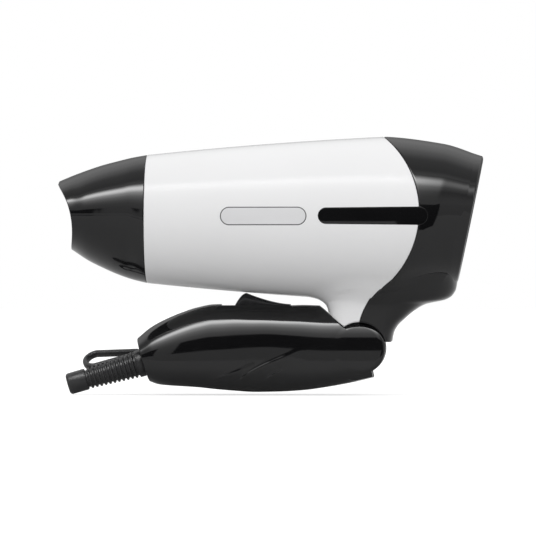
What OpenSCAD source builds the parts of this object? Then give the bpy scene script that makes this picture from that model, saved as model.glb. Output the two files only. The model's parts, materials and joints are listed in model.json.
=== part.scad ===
// Folding travel hair dryer: barrel with an S-shaped two-colour seam, push-on nozzle,
// folding handle with a slide switch, strain relief and hang loop.
// X runs from the nozzle (-) to the air inlet (+), Z is up, Y = 0 is the plane of symmetry.
// The origin is on the supporting surface, under the middle of the object.

/* [Barrel] */
// Front end of the barrel, where the nozzle's rim butts
barrel_front_x = -60.6; // [-64:0.2:-57]
// Place of the widest ring
barrel_wide_x = 55.3; // [50:0.1:60]
// Radius at the front end
front_r = 31.1; // [30.4:0.1:32]
// Radius at the widest ring
wide_r = 39.9; // [39.2:0.1:41]
// Rise of the front outline above a straight cone
barrel_bulge = 0.85; // [0:0.05:2]
// Wall of the housings, the neck and the handle
wall = 2.2; // [1.8:0.1:2.6]
// Gap in a seam between two shells
seam_gap = 0.1; // [0.05:0.05:0.2]

/* [Air inlet] */
// Middle of the tilted inlet face along X
inlet_x = 96.65; // [94:0.05:99]
// Tilt of the inlet face, top towards the rear
inlet_tilt = 11.65; // [8:0.05:14]
// Radius of the flat inlet face
inlet_face_r = 29.2; // [28.6:0.1:30]
// Radius of the opening through the rear wall
inlet_hole_r = 25.6; // [24:0.1:26]
// Radius of the inlet grille
grille_r = 27.4; // [26.8:0.1:28]
// Thickness of the inlet grille
grille_t = 2.4; // [1.8:0.1:2.6]
// Depth of the grille's front below the inlet face
grille_inset = 0.6; // [0.4:0.1:1]
// Rings of the inlet grille
grille_rings = 6; // [4:1:7]
// Spokes of the inlet grille
grille_spokes = 8; // [4:1:12]

/* [Nozzle] */
// Length from the seam to the mouth's middle
nozzle_length = 37.4; // [35:0.1:41]
// Height of the mouth's foremost edge
mouth_h = 29.4; // [26:0.1:33]
// Width of the mouth
mouth_w = 54; // [50:0.5:57]
// Wall of the nozzle
nozzle_wall = 1.8; // [1.5:0.1:2.1]
// Wall of the nozzle's rim over the barrel's spigot
rim_wall = 3.4; // [3:0.1:4]
// Length of the spigot
spigot_length = 9.4; // [7:0.1:11]
// Radial clearance between the spigot and the nozzle
spigot_gap = 0.3; // [0.2:0.05:0.4]

/* [Hinge] */
// Hinge axis along X
hinge_x = 42.7; // [42:0.1:43.4]
// Hinge axis height
hinge_z = 22.6; // [22:0.1:23.2]
// Radius of the handle's round cheeks
cheek_r = 12.6; // [12:0.1:12.8]
// Radius of the knuckle between the cheeks
knuckle_r = 11.4; // [10.5:0.1:11.6]
// Width of the knuckle
knuckle_w = 17; // [14:0.5:18]
// Gap on each side of the knuckle, which holds a washer
knuckle_gap = 0.5; // [0.4:0.05:0.7]
// Outer radius of the hollow pivot pin
pin_r = 5; // [4.5:0.1:5.6]
// Bore of the pivot pin, for the wires
pin_bore_r = 3.4; // [3:0.1:3.8]
// Radial running clearance of the pin in the knuckle
pin_gap = 0.08; // [0.05:0.01:0.1]
// Gap between the cheeks and the housings
hinge_gap = 0.4; // [0.3:0.05:0.5]
// Angle through which the handle unfolds
fold_angle = 74; // [60:1:75]

/* [Handle] */
// Width of the handle
handle_w = 36; // [35:0.2:38]
// Roundness of the grip's section above its widest line, 2 is an ellipse
grip_round = 2.2; // [2:0.1:2.8]
// Height of the grip's widest line
grip_wide_z = 16; // [14:0.5:20]
// Shaft radius of the housing screws
screw_r = 1.4; // [1.2:0.1:1.6]

/* [Switch] */
// Length of the knob
knob_l = 26.6; // [25:0.2:27]
// Width of the knob
knob_w = 13; // [11:0.5:13.5]
// Height of the knob's peak above its foot
knob_h = 6.2; // [5:0.1:6.2]
// Travel from 0 to the highest step
knob_travel = 6; // [4:0.5:6]
// Gap between the knob's peak and the barrel, which sets the barrel's height
knob_clear = 0.3; // [0.3:0.05:0.6]

/* [Strain relief] */
// Downward tilt of the cord's way out
relief_tilt = 16.2; // [14:0.1:16.6]
// Bore for the cord
cord_bore_r = 3.3; // [2.8:0.1:3.6]
// Rib radius at the handle
rib_r0 = 6.6; // [6.4:0.1:7]
// Rib radius at the tip
rib_r1 = 5.3; // [5.1:0.1:5.6]
// Depth of the grooves between the ribs
rib_depth = 1.1; // [0.8:0.1:1.3]
// Number of ribs
rib_count = 11; // [8:1:12]
// Length of the smooth end cap
cap_l = 9.6; // [7:0.2:10]

/* [Hang loop] */
// Length of the loop's opening
loop_l = 20.5; // [18:0.5:22]
// Width of the loop's opening
loop_w = 8; // [7:0.5:10]
// Thickness of the loop's strap
strap_t = 2.6; // [2:0.1:3]
// Width of the loop's strap
strap_w = 3.4; // [2.6:0.2:4]
// Lean of the loop away from the upright plane
loop_lean = 56; // [40:2:60]

/* [Inside] */
// Radius of the motor
motor_r = 13.75; // [12:0.25:14]
// Length of the motor
motor_l = 30; // [24:1:31]
// Radius of the motor shaft
shaft_r = 1.15; // [1:0.05:1.5]
// Running clearance of the shaft in the motor's bearings
shaft_gap = 0.05; // [0.03:0.01:0.08]
// Gap between the fan and its duct
fan_gap = 0.7; // [0.5:0.1:1]
// Room for the heater's leads between the duct and the barrel
lead_way = 3.9; // [3.4:0.1:4.4]
// Number of fan blades
fan_blades = 7; // [5:1:9]
// Turns of the heater coil
coil_turns = 9; // [6:1:10]

/* [Hidden] */
$fn = 96;
eps = 0.01;
fit = 0.1;                                   // rest gap between seated pieces
big = 300;

// Barrel outline
rear_drop = 1.6;                             // radius lost over rear_span behind the widest ring
rear_span = 16.5;
rear_power = 1.45;
barrel_steps = 9;
barrel_end_x = inlet_x + 12;
spigot_wall = 2;
spigot_r = front_r - rim_wall - spigot_gap;
rim_gap = 0.15;                              // gap between the nozzle's rim and the barrel
mouth_hollow_r = 33;                         // hollow of the nozzle's mouth edge
spigot_x = barrel_front_x - spigot_length;
front_wall_x = barrel_front_x + 2.6;         // inner face of the wall behind the nozzle's rim

function barrel_radius(x) = x <= barrel_wide_x
    ? let (t = (x - barrel_front_x) / (barrel_wide_x - barrel_front_x))
        front_r + (wide_r - front_r) * t + barrel_bulge * 4 * t * (1 - t)
    : wide_r - rear_drop * pow((x - barrel_wide_x) / rear_span, rear_power);

// Knob, and the barrel's axis above it
knob_rear_x = hinge_x - 33.7;
knob_front_x = knob_rear_x - knob_l;
track_z = 42.9;                              // floor of the knob's track
knob_foot_z = track_z + 0.3;
knob_peak_x = knob_front_x + 5.3;
axis_z = knob_foot_z + knob_h + knob_clear + barrel_radius(knob_peak_x);

function barrel_line(x0, x1, inset) = [for (i = [0 : barrel_steps])
    let (x = x0 + (x1 - x0) * i / barrel_steps) [barrel_radius(x) - inset, x]];

// S-shaped seam: a bulging arc on the barrel runs into a hollow arc on the neck
seam_top_r = 47;
seam_top = [barrel_wide_x - 30.3, axis_z + 3.2];
seam_low_r = 30.9;
seam_low = [hinge_x + 30.2, hinge_z + 5.5];

// Inlet face and the rounding around it, as radius over depth
inlet_z = axis_z - 0.45;
inlet_wall = 4.2;
inlet_dome = [[0, 0], [2.2, 1.2], [3.7, 6], [5.4, 11], [9.6, 20], [20, 34]];

// Neck levels: height, front, rear, half width, roundness
neck_levels = [
    [hinge_z + 1.6, hinge_x - 15, hinge_x + 15.5, 16.4, 3.6],
    [hinge_z + 7.8, hinge_x - 14.8, hinge_x + 16.7, 16.4, 3.6],
    [hinge_z + 11.2, hinge_x - 14.6, hinge_x + 18.6, 16.5, 3.5],
    [hinge_z + 14.5, hinge_x - 15.2, hinge_x + 22, 16.6, 3.4],
    [hinge_z + 18.2, hinge_x - 15.9, hinge_x + 26.4, 16.9, 3.2],
    [hinge_z + 21.4, hinge_x - 18, hinge_x + 31.9, 17.5, 3],
    [axis_z - 39, hinge_x - 21.4, hinge_x + 41.8, 18.6, 2.8],
    [axis_z - 37.1, hinge_x - 24, hinge_x + 44.8, 19.6, 2.7],
    [axis_z - 33.5, hinge_x - 26, hinge_x + 47.2, 21, 2.6],
    [axis_z - 28.7, hinge_x - 25, hinge_x + 48, 21.6, 2.6],
    [axis_z - 21.7, hinge_x - 23, hinge_x + 47.2, 21, 2.6]];
ring_points = 28;
arch_r = cheek_r + hinge_gap;                // hollow of the housings round the cheeks
slope_top = [hinge_x - 19.4, hinge_z + 20.6];
slope_foot = [hinge_x - 7.3, hinge_z + 10.3];
slope_shift = hinge_gap * [0.65, 0.76];
heel_foot = [6.8, -14.1];                    // heel's outer corner, seen from the hinge
heel_in = [6.1, -10.8];                      // heel at the cheek
heel_angle = atan2(heel_foot[1], heel_foot[0]);
bracket_front = 9;                           // bracket's stem before and behind the hinge axis
bracket_rear = 11;
bracket_h = 22;
knuckle_room = 0.5;                          // radial room round the knuckle
stop_angle = fold_angle + 1.3;

// Handle stations: under point, top point, half width, squareness below
half_w = handle_w / 2;
handle_stations = [
    [[hinge_x - 102.2, 7.2], [hinge_x - 108.2, 25.8], half_w - 3.6, 3],
    [[hinge_x - 100.9, 5.7], [hinge_x - 107.5, 28.9], half_w - 1.8, 3.2],
    [[hinge_x - 97.2, 5], [hinge_x - 101.4, 32.8], half_w - 0.7, 3.4],
    [[hinge_x - 91, 4.4], [hinge_x - 94.7, 36.5], half_w - 0.2, 3.6],
    [[hinge_x - 84, 4], [hinge_x - 86.4, 40], half_w, 3.6],
    [[hinge_x - 77, 3.5], [hinge_x - 78.5, 42.5], half_w, 3.6],
    [[hinge_x - 70.5, 2.8], [hinge_x - 71, 43.9], half_w, 3.6],
    [[hinge_x - 61, 2], [hinge_x - 62, 44.1], half_w, 3.6],
    [[hinge_x - 50.5, 1.4], [hinge_x - 50.5, 43.5], half_w, 3.6],
    [[hinge_x - 38.8, 1.6], [hinge_x - 38.8, 43.3], half_w, 3.6],
    [[hinge_x - 27.2, 2.3], [hinge_x - 27.6, 43.6], half_w, 3.7],
    [[hinge_x - 15.5, 3.9], [hinge_x - 15.5, 43.3], half_w - 0.1, 3.8],
    [[hinge_x - 3.9, 6], [hinge_x - 3.9, 43.3], half_w - 0.3, 3.8],
    [[hinge_x + 8, 8.8], [hinge_x + 8, 43.3], half_w - 0.5, 3.8]];
cavity_last = 10;                            // last station that the handle's hollow reaches
cheek_half = half_w - 0.6;
slot_half = knuckle_w / 2 + knuckle_gap;     // half the gap between the cheeks
pin_half = cheek_half - 2.4;

// Switch
stem = [5, 4];
stem_x = knob_rear_x - 12;
switch_size = [24, 12, 12];
switch_top = 37.6;
stem_foot_z = switch_top - 2.5;

// Strain relief: along its axis from the handle's end
relief_start = [hinge_x - 104.6, 15.8];
collar_l = 4;
rib_pitch = 2.2;
rib_l = 1.3;
relief_l = collar_l + rib_count * rib_pitch + 1 + cap_l;
relief_neck_r = 5.6;
end_wall = wall + 1.6;
relief_wall = end_wall + 0.75;                // from the relief's origin to its inner flange

// Heater and fan
sleeve_r = spigot_r - spigot_wall - fit;
sleeve_wall = 0.6;
sleeve_x0 = spigot_x + 6.4;
sleeve_x1 = 4;
board_half = sleeve_r - sleeve_wall - fit;
board_t = 0.8;
board_x0 = sleeve_x0 + 2;
board_x1 = sleeve_x1 - 4;
coil_r = board_half - 4.2;
coil_wire_r = 0.55;
coil_x0 = board_x0 + 14;
coil_pitch = 4.2;
coil_sides = 16;
duct_wall = 1.5;
duct_x0 = 20;
duct_r = barrel_radius(duct_x0) - wall - lead_way - duct_wall;
fan_r = duct_r - fan_gap;
duct_x1 = 54;
flange_x = 22;
flange_t = 2.4;
hub_wall = 1.4;
motor_x0 = 6;
fan_x0 = motor_x0 + motor_l + 5;
fan_l = 11;
fan_hub_r = 13.5;

// ---------------------------------------------------------------- shared forms

// Closed solid through rings of equal point count
module loft(sections) {
    ahead = total(sections[1]) - total(sections[0]);
    rings = facing(sections[0]) * ahead > 0 ? sections
        : [for (ring = sections) [for (i = [len(ring) - 1 : -1 : 0]) ring[i]]];
    n = len(rings[0]);
    last = len(rings) - 1;
    polyhedron(
        points = [for (ring = rings) each ring],
        faces = concat(
            [[for (i = [0 : n - 1]) i]],
            [for (k = [0 : last - 1], i = [0 : n - 1]) each
                [[k * n + i, (k + 1) * n + i, (k + 1) * n + (i + 1) % n],
                 [k * n + i, (k + 1) * n + (i + 1) % n, k * n + (i + 1) % n]]],
            [[for (i = [n - 1 : -1 : 0]) last * n + i]]));
}

function total(list, i = 0) = i == len(list) - 1 ? list[i] : list[i] + total(list, i + 1);

// Area vector of a ring of points
function facing(ring) = total([for (i = [1 : len(ring) - 2])
    cross(ring[i] - ring[0], ring[i + 1] - ring[0])]);

function turned(p, a) = [p[0] * cos(a) - p[1] * sin(a), p[0] * sin(a) + p[1] * cos(a)];

// Point of a unit superellipse at an angle
function squircle(a, power) = [
    sign(cos(a)) * pow(abs(cos(a)), 2 / power),
    sign(sin(a)) * pow(abs(sin(a)), 2 / power)];

// Outline of an oblong whose round ends may differ
function oblong(x0, r0, x1, r1, steps = 12) = concat(
    [for (i = [0 : steps]) let (a = 90 + 180 * i / steps) [x0 + r0 + r0 * cos(a), r0 * sin(a)]],
    [for (i = [0 : steps]) let (a = -90 + 180 * i / steps) [x1 - r1 + r1 * cos(a), r1 * sin(a)]]);

// Turns a shape of (radius, length) about the barrel's axis
module on_axis() {
    translate([0, 0, axis_z]) rotate([0, 90, 0]) children();
}

// Ring or disc about the barrel's axis from x0 to x1
module axis_ring(x0, x1, r_out, r_in = 0) {
    on_axis() translate([0, 0, x0]) difference() {
        cylinder(r = r_out, h = x1 - x0);
        if (r_in > 0) translate([0, 0, -1]) cylinder(r = r_in, h = x1 - x0 + 2);
    }
}

// Raises a drawing of (X, Z) to a plate across Y
module side_plate(y0, y1) {
    translate([0, y1, 0]) rotate([90, 0, 0]) linear_extrude(height = y1 - y0) children();
}

// Frame of the inlet face, +Z outwards
module inlet_frame() {
    translate([inlet_x, 0, inlet_z]) rotate([0, 90 + inlet_tilt, 0]) children();
}

// Frame of the strain relief, +Z along the cord's way out
module relief_frame() {
    translate([relief_start[0], 0, relief_start[1]]) rotate([0, -90 - relief_tilt, 0]) children();
}

// Cylinder across Y about the hinge axis
module hinge_round(r, half) {
    translate([hinge_x, 0, hinge_z]) rotate([90, 0, 0]) cylinder(r = r, h = 2 * half, center = true);
}

function unit(v) = v / norm(v);

// Point on a smooth curve through four control points, between the middle two
function spline(a, b, c, d, t) = 0.5 * (2 * b + (c - a) * t + (2 * a - 5 * b + 4 * c - d) * t * t
    + (3 * b - a - 3 * c + d) * t * t * t);

// Insulated wire on a smooth curve through a list of points
module wire(points, r, sides = 8, steps = 4) {
    last = len(points) - 1;
    path = concat([for (i = [0 : last - 1], k = [0 : steps - 1]) spline(
        points[max(0, i - 1)], points[i], points[i + 1], points[min(last, i + 2)], k / steps)],
        [points[last]]);
    end = len(path) - 1;
    loft([for (i = [0 : end])
        let (way = unit(path[min(end, i + 1)] - path[max(0, i - 1)]),
            across = unit(cross([0, 1, 0], way)),
            over = cross(way, across))
        [for (k = [0 : sides - 1]) path[i] + r * (across * cos(360 * k / sides)
            + over * sin(360 * k / sides))]]);
}

// Pan head screw, head at the origin and shaft along -Z
module screw(length, head_r) {
    translate([0, 0, -length]) cylinder(r = screw_r, h = length, $fn = 32);
    difference() {
        cylinder(r = head_r, h = 1.6, $fn = 32);
        translate([0, 0, 1.3]) cube([3, 0.6, 2], center = true);
        translate([0, 0, 1.3]) cube([0.6, 3, 2], center = true);
    }
}

// ---------------------------------------------------------------- housings

module neck(inset) {
    loft([for (level = neck_levels) [for (i = [0 : ring_points - 1])
        let (p = squircle(360 * i / ring_points, level[4]),
            middle = (level[1] + level[2]) / 2,
            half = (level[2] - level[1]) / 2 - inset)
        [middle + half * p[0], (level[3] - inset) * p[1], level[0]]]]);
}

// Rounded end about the inlet face
module inlet_end(inset) {
    inlet_frame() rotate_extrude() polygon(concat([[0, 0]],
        [for (p = inlet_dome) [inlet_face_r + p[0] - inset, -p[1]]],
        [[big, -big], [0, -big]]));
}

module barrel_form(inset) {
    intersection() {
        on_axis() rotate_extrude() polygon(concat(
            [[0, barrel_front_x]],
            barrel_line(barrel_front_x, barrel_wide_x, inset),
            barrel_line(barrel_wide_x + 4, barrel_end_x, inset),
            [[0, barrel_end_x]]));
        inlet_end(inset);
    }
}

module handle_clear() {
    side_plate(-big, big) polygon([slope_top + slope_shift, slope_foot + slope_shift,
        [hinge_x, hinge_z], [hinge_x, 0], [0, 0], [0, slope_top[1] + slope_shift[1]]]);
}

// Outside of both housings together
module housing_form() {
    difference() {
        union() {
            barrel_form(0);
            neck(0);
            axis_ring(spigot_x, barrel_front_x + eps, spigot_r);
        }
        hinge_round(arch_r, big);
        handle_clear();
        // room for the heel at the end of its swing
        side_plate(-big, big) translate([hinge_x, hinge_z]) polygon([[0, 0],
            turned(heel_in, stop_angle), turned(heel_foot, stop_angle),
            1.6 * turned(heel_foot, stop_angle), [25, -20], [0, -20]]);
    }
}

// Hollow of both housings together
module housing_hollow() {
    intersection() {
        on_axis() rotate_extrude() polygon(concat(
            [[0, front_wall_x]],
            barrel_line(front_wall_x, barrel_wide_x, wall),
            barrel_line(barrel_wide_x + 4, barrel_end_x, wall),
            [[0, barrel_end_x]]));
        inlet_end(wall);
        inlet_frame() translate([0, 0, -inlet_wall - big / 2]) cube([big, big, big], center = true);
    }
    difference() {
        intersection() {
            neck(wall);
            inlet_frame() translate([0, 0, -inlet_wall - big / 2]) cube([big, big, big], center = true);
        }
        hinge_round(arch_r + wall, big);
        translate([wall * 0.65, 0, wall * 0.76]) handle_clear();
    }
    axis_ring(spigot_x - 1, front_wall_x + 1, spigot_r - spigot_wall);
    bracket_room(fit);
}

// Room that the hinge bracket's stem needs in the neck's floor
module bracket_room(gap) {
    side_plate(-knuckle_w / 2 - gap, knuckle_w / 2 + gap)
        translate([hinge_x - bracket_front - gap, hinge_z])
            square([bracket_front + bracket_rear + 2 * gap, bracket_h]);
}

// Front region of the seam, as a plate across Y; grow moves the seam to the rear
module seam_plate(grow) {
    side_plate(-big, big) difference() {
        union() {
            translate([-big, -big]) square([big + seam_top[0] + 29 + grow, 2 * big]);
            translate(seam_top) circle(r = seam_top_r + grow, $fn = 180);
        }
        translate(seam_low) circle(r = seam_low_r - grow, $fn = 180);
    }
}

// Skin of the barrel between two depths below its surface, cut to an oblong on one side
module side_inlay(side, x0, r0, x1, r1, z, rise, depth, gap) {
    intersection() {
        side_plate(side > 0 ? 10 : -60, side > 0 ? 60 : -10)
            translate([0, z]) polygon(oblong(x0 - gap, r0 + gap, x1 + gap, r1 + gap));
        on_axis() rotate_extrude() polygon(concat(
            barrel_line(x0 - 3, x1 + 3, -rise),
            [for (i = [barrel_steps : -1 : 0])
                let (x = x0 - 3 + (x1 - x0 + 6) * i / barrel_steps) [barrel_radius(x) - depth, x]]));
    }
}

trim_x = [barrel_wide_x - 32, barrel_wide_x + 21];
trim_r = [4.1, 4.55];
trim_z = axis_z + 1.3;
badge_x = [barrel_wide_x - 79, barrel_wide_x - 37.3];
badge_r = 4.45;
badge_z = axis_z + 1.2;
inlay_depth = 1;

module trim(side, rise, gap) {
    side_inlay(side, trim_x[0], trim_r[0], trim_x[1], trim_r[1], trim_z, rise, inlay_depth + gap, gap);
}

module badge(side, rise, gap) {
    side_inlay(side, badge_x[0], badge_r, badge_x[1], badge_r, badge_z, rise, inlay_depth / 2 + gap, gap);
}

module housing_shell() {
    difference() {
        housing_form();
        housing_hollow();
        for (side = [-1, 1]) {
            trim(side, 2, fit);
            badge(side, 2, fit);
        }
        inlet_frame() translate([0, 0, -inlet_wall - 2]) cylinder(r = inlet_hole_r, h = inlet_wall + 4);
        inlet_frame() translate([0, 0, -grille_inset - grille_t - fit])
            cylinder(r = grille_r + fit, h = grille_t + 4);
    }
}

module main_housing() {
    color("white") intersection() {
        housing_shell();
        seam_plate(-seam_gap);
    }
}

post_x = hinge_x + 10;
post_y = 11.3;
post_top = hinge_z + 19;

module rear_housing() {
    color([0.08, 0.08, 0.09]) {
        difference() {
            union() {
                difference() {
                    housing_shell();
                    seam_plate(0);
                }
                // posts that carry the hinge bracket
                for (side = [-1, 1]) translate([post_x, side * post_y, hinge_z + 6])
                    cylinder(r = 2.6, h = post_top - hinge_z - 6, $fn = 40);
            }
            for (side = [-1, 1]) translate([post_x, side * post_y, hinge_z + 9])
                cylinder(r = screw_r + 0.05, h = 30, $fn = 32);
            hinge_round(arch_r, big);
        }
    }
}

module inlet_grille() {
    pitch = (grille_r - 3) / grille_rings;
    color([0.1, 0.1, 0.11]) inlet_frame() translate([0, 0, -grille_inset - grille_t]) {
        difference() {
            cylinder(r = grille_r, h = grille_t);
            for (k = [0 : grille_rings - 1]) translate([0, 0, -1]) difference() {
                cylinder(r = 3 + (k + 1) * pitch - 1.2, h = grille_t + 2);
                translate([0, 0, -1]) cylinder(r = 3 + k * pitch, h = grille_t + 4);
                for (i = [0 : grille_spokes - 1]) rotate([0, 0, i * 360 / grille_spokes])
                    translate([0, -0.8, -1]) cube([grille_r, 1.6, grille_t + 4]);
            }
        }
    }
}

module dust_filter() {
    color([0.3, 0.3, 0.3]) inlet_frame() translate([0, 0, -grille_inset - grille_t - 2 * fit - 0.5])
        cylinder(r = inlet_hole_r - fit, h = 0.5);
}

module trim_left() {
    color([0.07, 0.07, 0.08]) trim(-1, 0.15, 0);
}

module trim_right() {
    color([0.07, 0.07, 0.08]) trim(1, 0.15, 0);
}

module badge_left() {
    color([0.9, 0.9, 0.9]) badge(-1, 0.05, 0);
}

module badge_right() {
    color([0.9, 0.9, 0.9]) badge(1, 0.05, 0);
}

// ---------------------------------------------------------------- heater

module outlet_grille() {
    r = spigot_r - spigot_wall - fit;
    color([0.15, 0.15, 0.15]) on_axis() translate([0, 0, sleeve_x0 - 2.2]) {
        difference() {
            cylinder(r = r, h = 2);
            for (k = [0 : 3]) translate([0, 0, -1]) difference() {
                cylinder(r = 3 + (k + 1) * (r - 3) / 4 - 1.2, h = 4);
                translate([0, 0, -1]) cylinder(r = 3 + k * (r - 3) / 4, h = 6);
                for (i = [0 : 5]) rotate([0, 0, i * 60]) translate([0, -0.7, -1]) cube([r, 1.4, 6]);
            }
        }
    }
}

module heat_shield() {
    color("silver") axis_ring(sleeve_x0, sleeve_x1, sleeve_r, sleeve_r - sleeve_wall);
}

function coil_point(a) = [coil_x0 + coil_pitch * a / 360, coil_r * cos(a), axis_z + coil_r * sin(a)];

// Notches where the coil's wire passes the board's two edges
module coil_notches(phase) {
    for (turn = [0 : coil_turns - 1], side = [0, 180])
        let (p = coil_point(360 * turn + phase + side))
        translate(p) cube([3 * coil_wire_r, 3 * coil_wire_r + 4, 3 * coil_wire_r + 4], center = true);
}

module mica_board(phase) {
    difference() {
        translate([board_x0, -board_half, axis_z - board_t / 2])
            cube([board_x1 - board_x0, 2 * board_half, board_t]);
        coil_notches(phase);
    }
}

module mica_board_flat() {
    color([0.8, 0.75, 0.6]) difference() {
        mica_board(0);
        translate([board_x0 - 1, -board_t / 2 - fit, axis_z - 2])
            cube([(board_x1 - board_x0) / 2 + 1, board_t + 2 * fit, 4]);
    }
}

module mica_board_upright() {
    color([0.8, 0.75, 0.6]) difference() {
        translate([board_x0, -board_t / 2, axis_z - board_half])
            cube([board_x1 - board_x0, board_t, 2 * board_half]);
        coil_notches(90);
        translate([(board_x0 + board_x1) / 2, -2, axis_z - board_t / 2 - fit])
            cube([board_x1 - board_x0, 4, board_t + 2 * fit]);
    }
}

module heater_coil() {
    steps = coil_turns * coil_sides;
    color([0.6, 0.55, 0.5]) loft([for (k = [0 : steps]) let (a = 360 * k / coil_sides)
        [for (i = [0 : 5]) coil_point(a) + coil_wire_r * [cos(60 * i), sin(60 * i) * cos(a),
            sin(60 * i) * sin(a)]]]);
}

module thermostat() {
    color("silver") translate([board_x0 + 2, 4, axis_z + board_t / 2 + fit]) cube([9, 7, 4]);
}

module thermal_fuse() {
    color([0.75, 0.6, 0.4]) translate([board_x0 + 6, -5, axis_z + board_t / 2 + fit + 1.6])
        rotate([90, 0, 0]) cylinder(r = 1.6, h = 9, $fn = 24);
}

lead_r = 0.9;

module heater_leads() {
    way_r = duct_r + duct_wall + lead_way / 2;
    color("firebrick") for (side = [-1, 1])
        wire([[board_x1 - 4, side * 12, axis_z - board_t / 2 - fit - lead_r],
            [sleeve_x1 + 2, side * 16, axis_z - 10],
            [sleeve_x1 + 8, side * 14, axis_z - way_r + 5.8],
            [hinge_x - 16, side * 11, axis_z - way_r + 0.8],
            [hinge_x - 6, side * 8, axis_z - 36],
            [hinge_x, side * 1.5, post_top + 5],
            [hinge_x, side * 1.5, post_top - 6]], lead_r);
}

// ---------------------------------------------------------------- motor and fan

module fan_duct() {
    color([0.2, 0.2, 0.22]) {
        axis_ring(duct_x0, duct_x1, duct_r + duct_wall, duct_r);
        difference() {
            axis_ring(flange_x, flange_x + flange_t, barrel_radius(flange_x) - wall - fit, duct_r);
            // way for the leads
            translate([flange_x - 1, -15, axis_z - 50])
                cube([flange_t + 2, 30, 50 - duct_r / 2]);
        }
        axis_ring(motor_x0, motor_x0 + motor_l - 2, motor_r + hub_wall, motor_r + fit / 2);
        for (i = [0 : 6]) translate([0, 0, axis_z]) rotate([i * 360 / 7, 0, 0])
            translate([duct_x0, -0.6, motor_r + hub_wall / 2]) cube([13, 1.2, duct_r - motor_r]);
    }
}

module motor() {
    color("silver") difference() {
        union() {
            axis_ring(motor_x0, motor_x0 + motor_l, motor_r);
            axis_ring(motor_x0 + motor_l - 1, motor_x0 + motor_l + 2, 4.5);
        }
        axis_ring(motor_x0 + 4, motor_x0 + motor_l + 3, shaft_r + shaft_gap);
    }
}

board2_x = motor_x0 - 1.6 - fit;

module rectifier_board() {
    color("darkgreen") axis_ring(board2_x, board2_x + 1.6, motor_r - 1);
}

module diodes() {
    color([0.1, 0.1, 0.1]) for (y = [-6, -2, 2, 6])
        translate([board2_x - 1.3 - fit, y, axis_z - 3]) cylinder(r = 1.3, h = 6, $fn = 24);
}

module motor_shaft() {
    color("silver") axis_ring(motor_x0 + 4.2, fan_x0 + fan_l + 1, shaft_r);
}

module fan() {
    color([0.25, 0.25, 0.27]) difference() {
        union() {
            axis_ring(fan_x0, fan_x0 + fan_l, fan_hub_r);
            intersection() {
                axis_ring(fan_x0, fan_x0 + fan_l, fan_r);
                for (i = [0 : fan_blades - 1]) translate([fan_x0 + fan_l / 2, 0, axis_z])
                    rotate([i * 360 / fan_blades, 0, 0]) rotate([0, 0, 38])
                        translate([-10, -0.7, fan_hub_r - 3]) cube([20, 1.4, 30]);
            }
        }
        axis_ring(fan_x0 - 1, fan_x0 + fan_l - 2, fan_hub_r - 1.5, 3.5);
        axis_ring(fan_x0 - 1, fan_x0 + fan_l + 1, shaft_r);
    }
}

// ---------------------------------------------------------------- hinge

module hinge_bracket() {
    color([0.2, 0.2, 0.22]) difference() {
        union() {
            hinge_round(knuckle_r, knuckle_w / 2);
            bracket_room(0);
            // flange on the rear housing's posts
            translate([hinge_x - 6, -13.5, post_top + fit]) cube([post_x - hinge_x + 9, 27, 3]);
        }
        hinge_round(pin_r + pin_gap, big);
        // way for the wires
        translate([hinge_x, 0, hinge_z]) cylinder(r = pin_bore_r, h = 40, $fn = 48);
        for (side = [-1, 1]) translate([post_x, side * post_y, post_top - 1])
            cylinder(r = screw_r + 0.1, h = 6, $fn = 32);
        // groove for the detent ball
        translate([hinge_x, 0, hinge_z]) rotate([90, 0, 0]) rotate_extrude()
            translate([knuckle_r + 0.7, 0]) circle(r = 2, $fn = 32);
    }
}

module bracket_screws() {
    color("silver") for (side = [-1, 1])
        translate([post_x, side * post_y, post_top + 3 + 2 * fit]) screw(11, 2.6);
}

module pivot_pin() {
    color("silver") difference() {
        hinge_round(pin_r, pin_half);
        hinge_round(pin_bore_r, big);
        // windows for the wires, up and towards the grip
        translate([hinge_x - 2, -2, hinge_z]) cube([4, 4, 10]);
        translate([hinge_x, 0, hinge_z]) rotate([0, -100, 0]) translate([-2, -2, 0]) cube([4, 4, 10]);
    }
}

module pivot_washers() {
    color("silver") for (side = [-1, 1]) translate([0, side * (knuckle_w / 2 + knuckle_gap / 2), 0])
        difference() {
            hinge_round(cheek_r - 3, knuckle_gap / 2 - fit);
            hinge_round(pin_r + fit, 2);
        }
}

ball_r = 1.6;
ball_at = knuckle_r + 0.9;
pocket_l = 7;

// Frame of the ball's pocket, +X away from the hinge
module ball_frame() {
    translate([hinge_x, 0, hinge_z]) rotate([0, -235, 0]) children();
}

module detent_ball() {
    color("silver") ball_frame() translate([ball_at, 0, 0]) sphere(r = ball_r, $fn = 40);
}

module detent_spring() {
    turns = 4;
    color("silver") ball_frame() for (k = [0 : turns - 1])
        translate([ball_at + ball_r + 0.35 + k * 0.82, 0, 0]) rotate([0, 90, 0])
            rotate_extrude($fn = 32) translate([1.1, 0]) circle(r = 0.38, $fn = 16);
}

// ---------------------------------------------------------------- handle

// Section of the grip: squarer below its widest line, rounder above
function handle_ring(s, inset) = let (under = [s[0][0], 0, s[0][1]], top = [s[1][0], 0, s[1][1]],
        low = (grip_wide_z - under[2]) / (top[2] - under[2]),
        middle = under + (top - under) * low,
        reach = norm(top - under), up = (top - under) / reach)
    [for (i = [0 : ring_points - 1]) let (a = 360 * i / ring_points,
            below = sin(a) < 0, p = squircle(a, below ? s[3] : grip_round))
        middle + up * (reach * (below ? low : 1 - low) - inset) * p[1] + [0, (s[2] - inset) * p[0], 0]];

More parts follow.
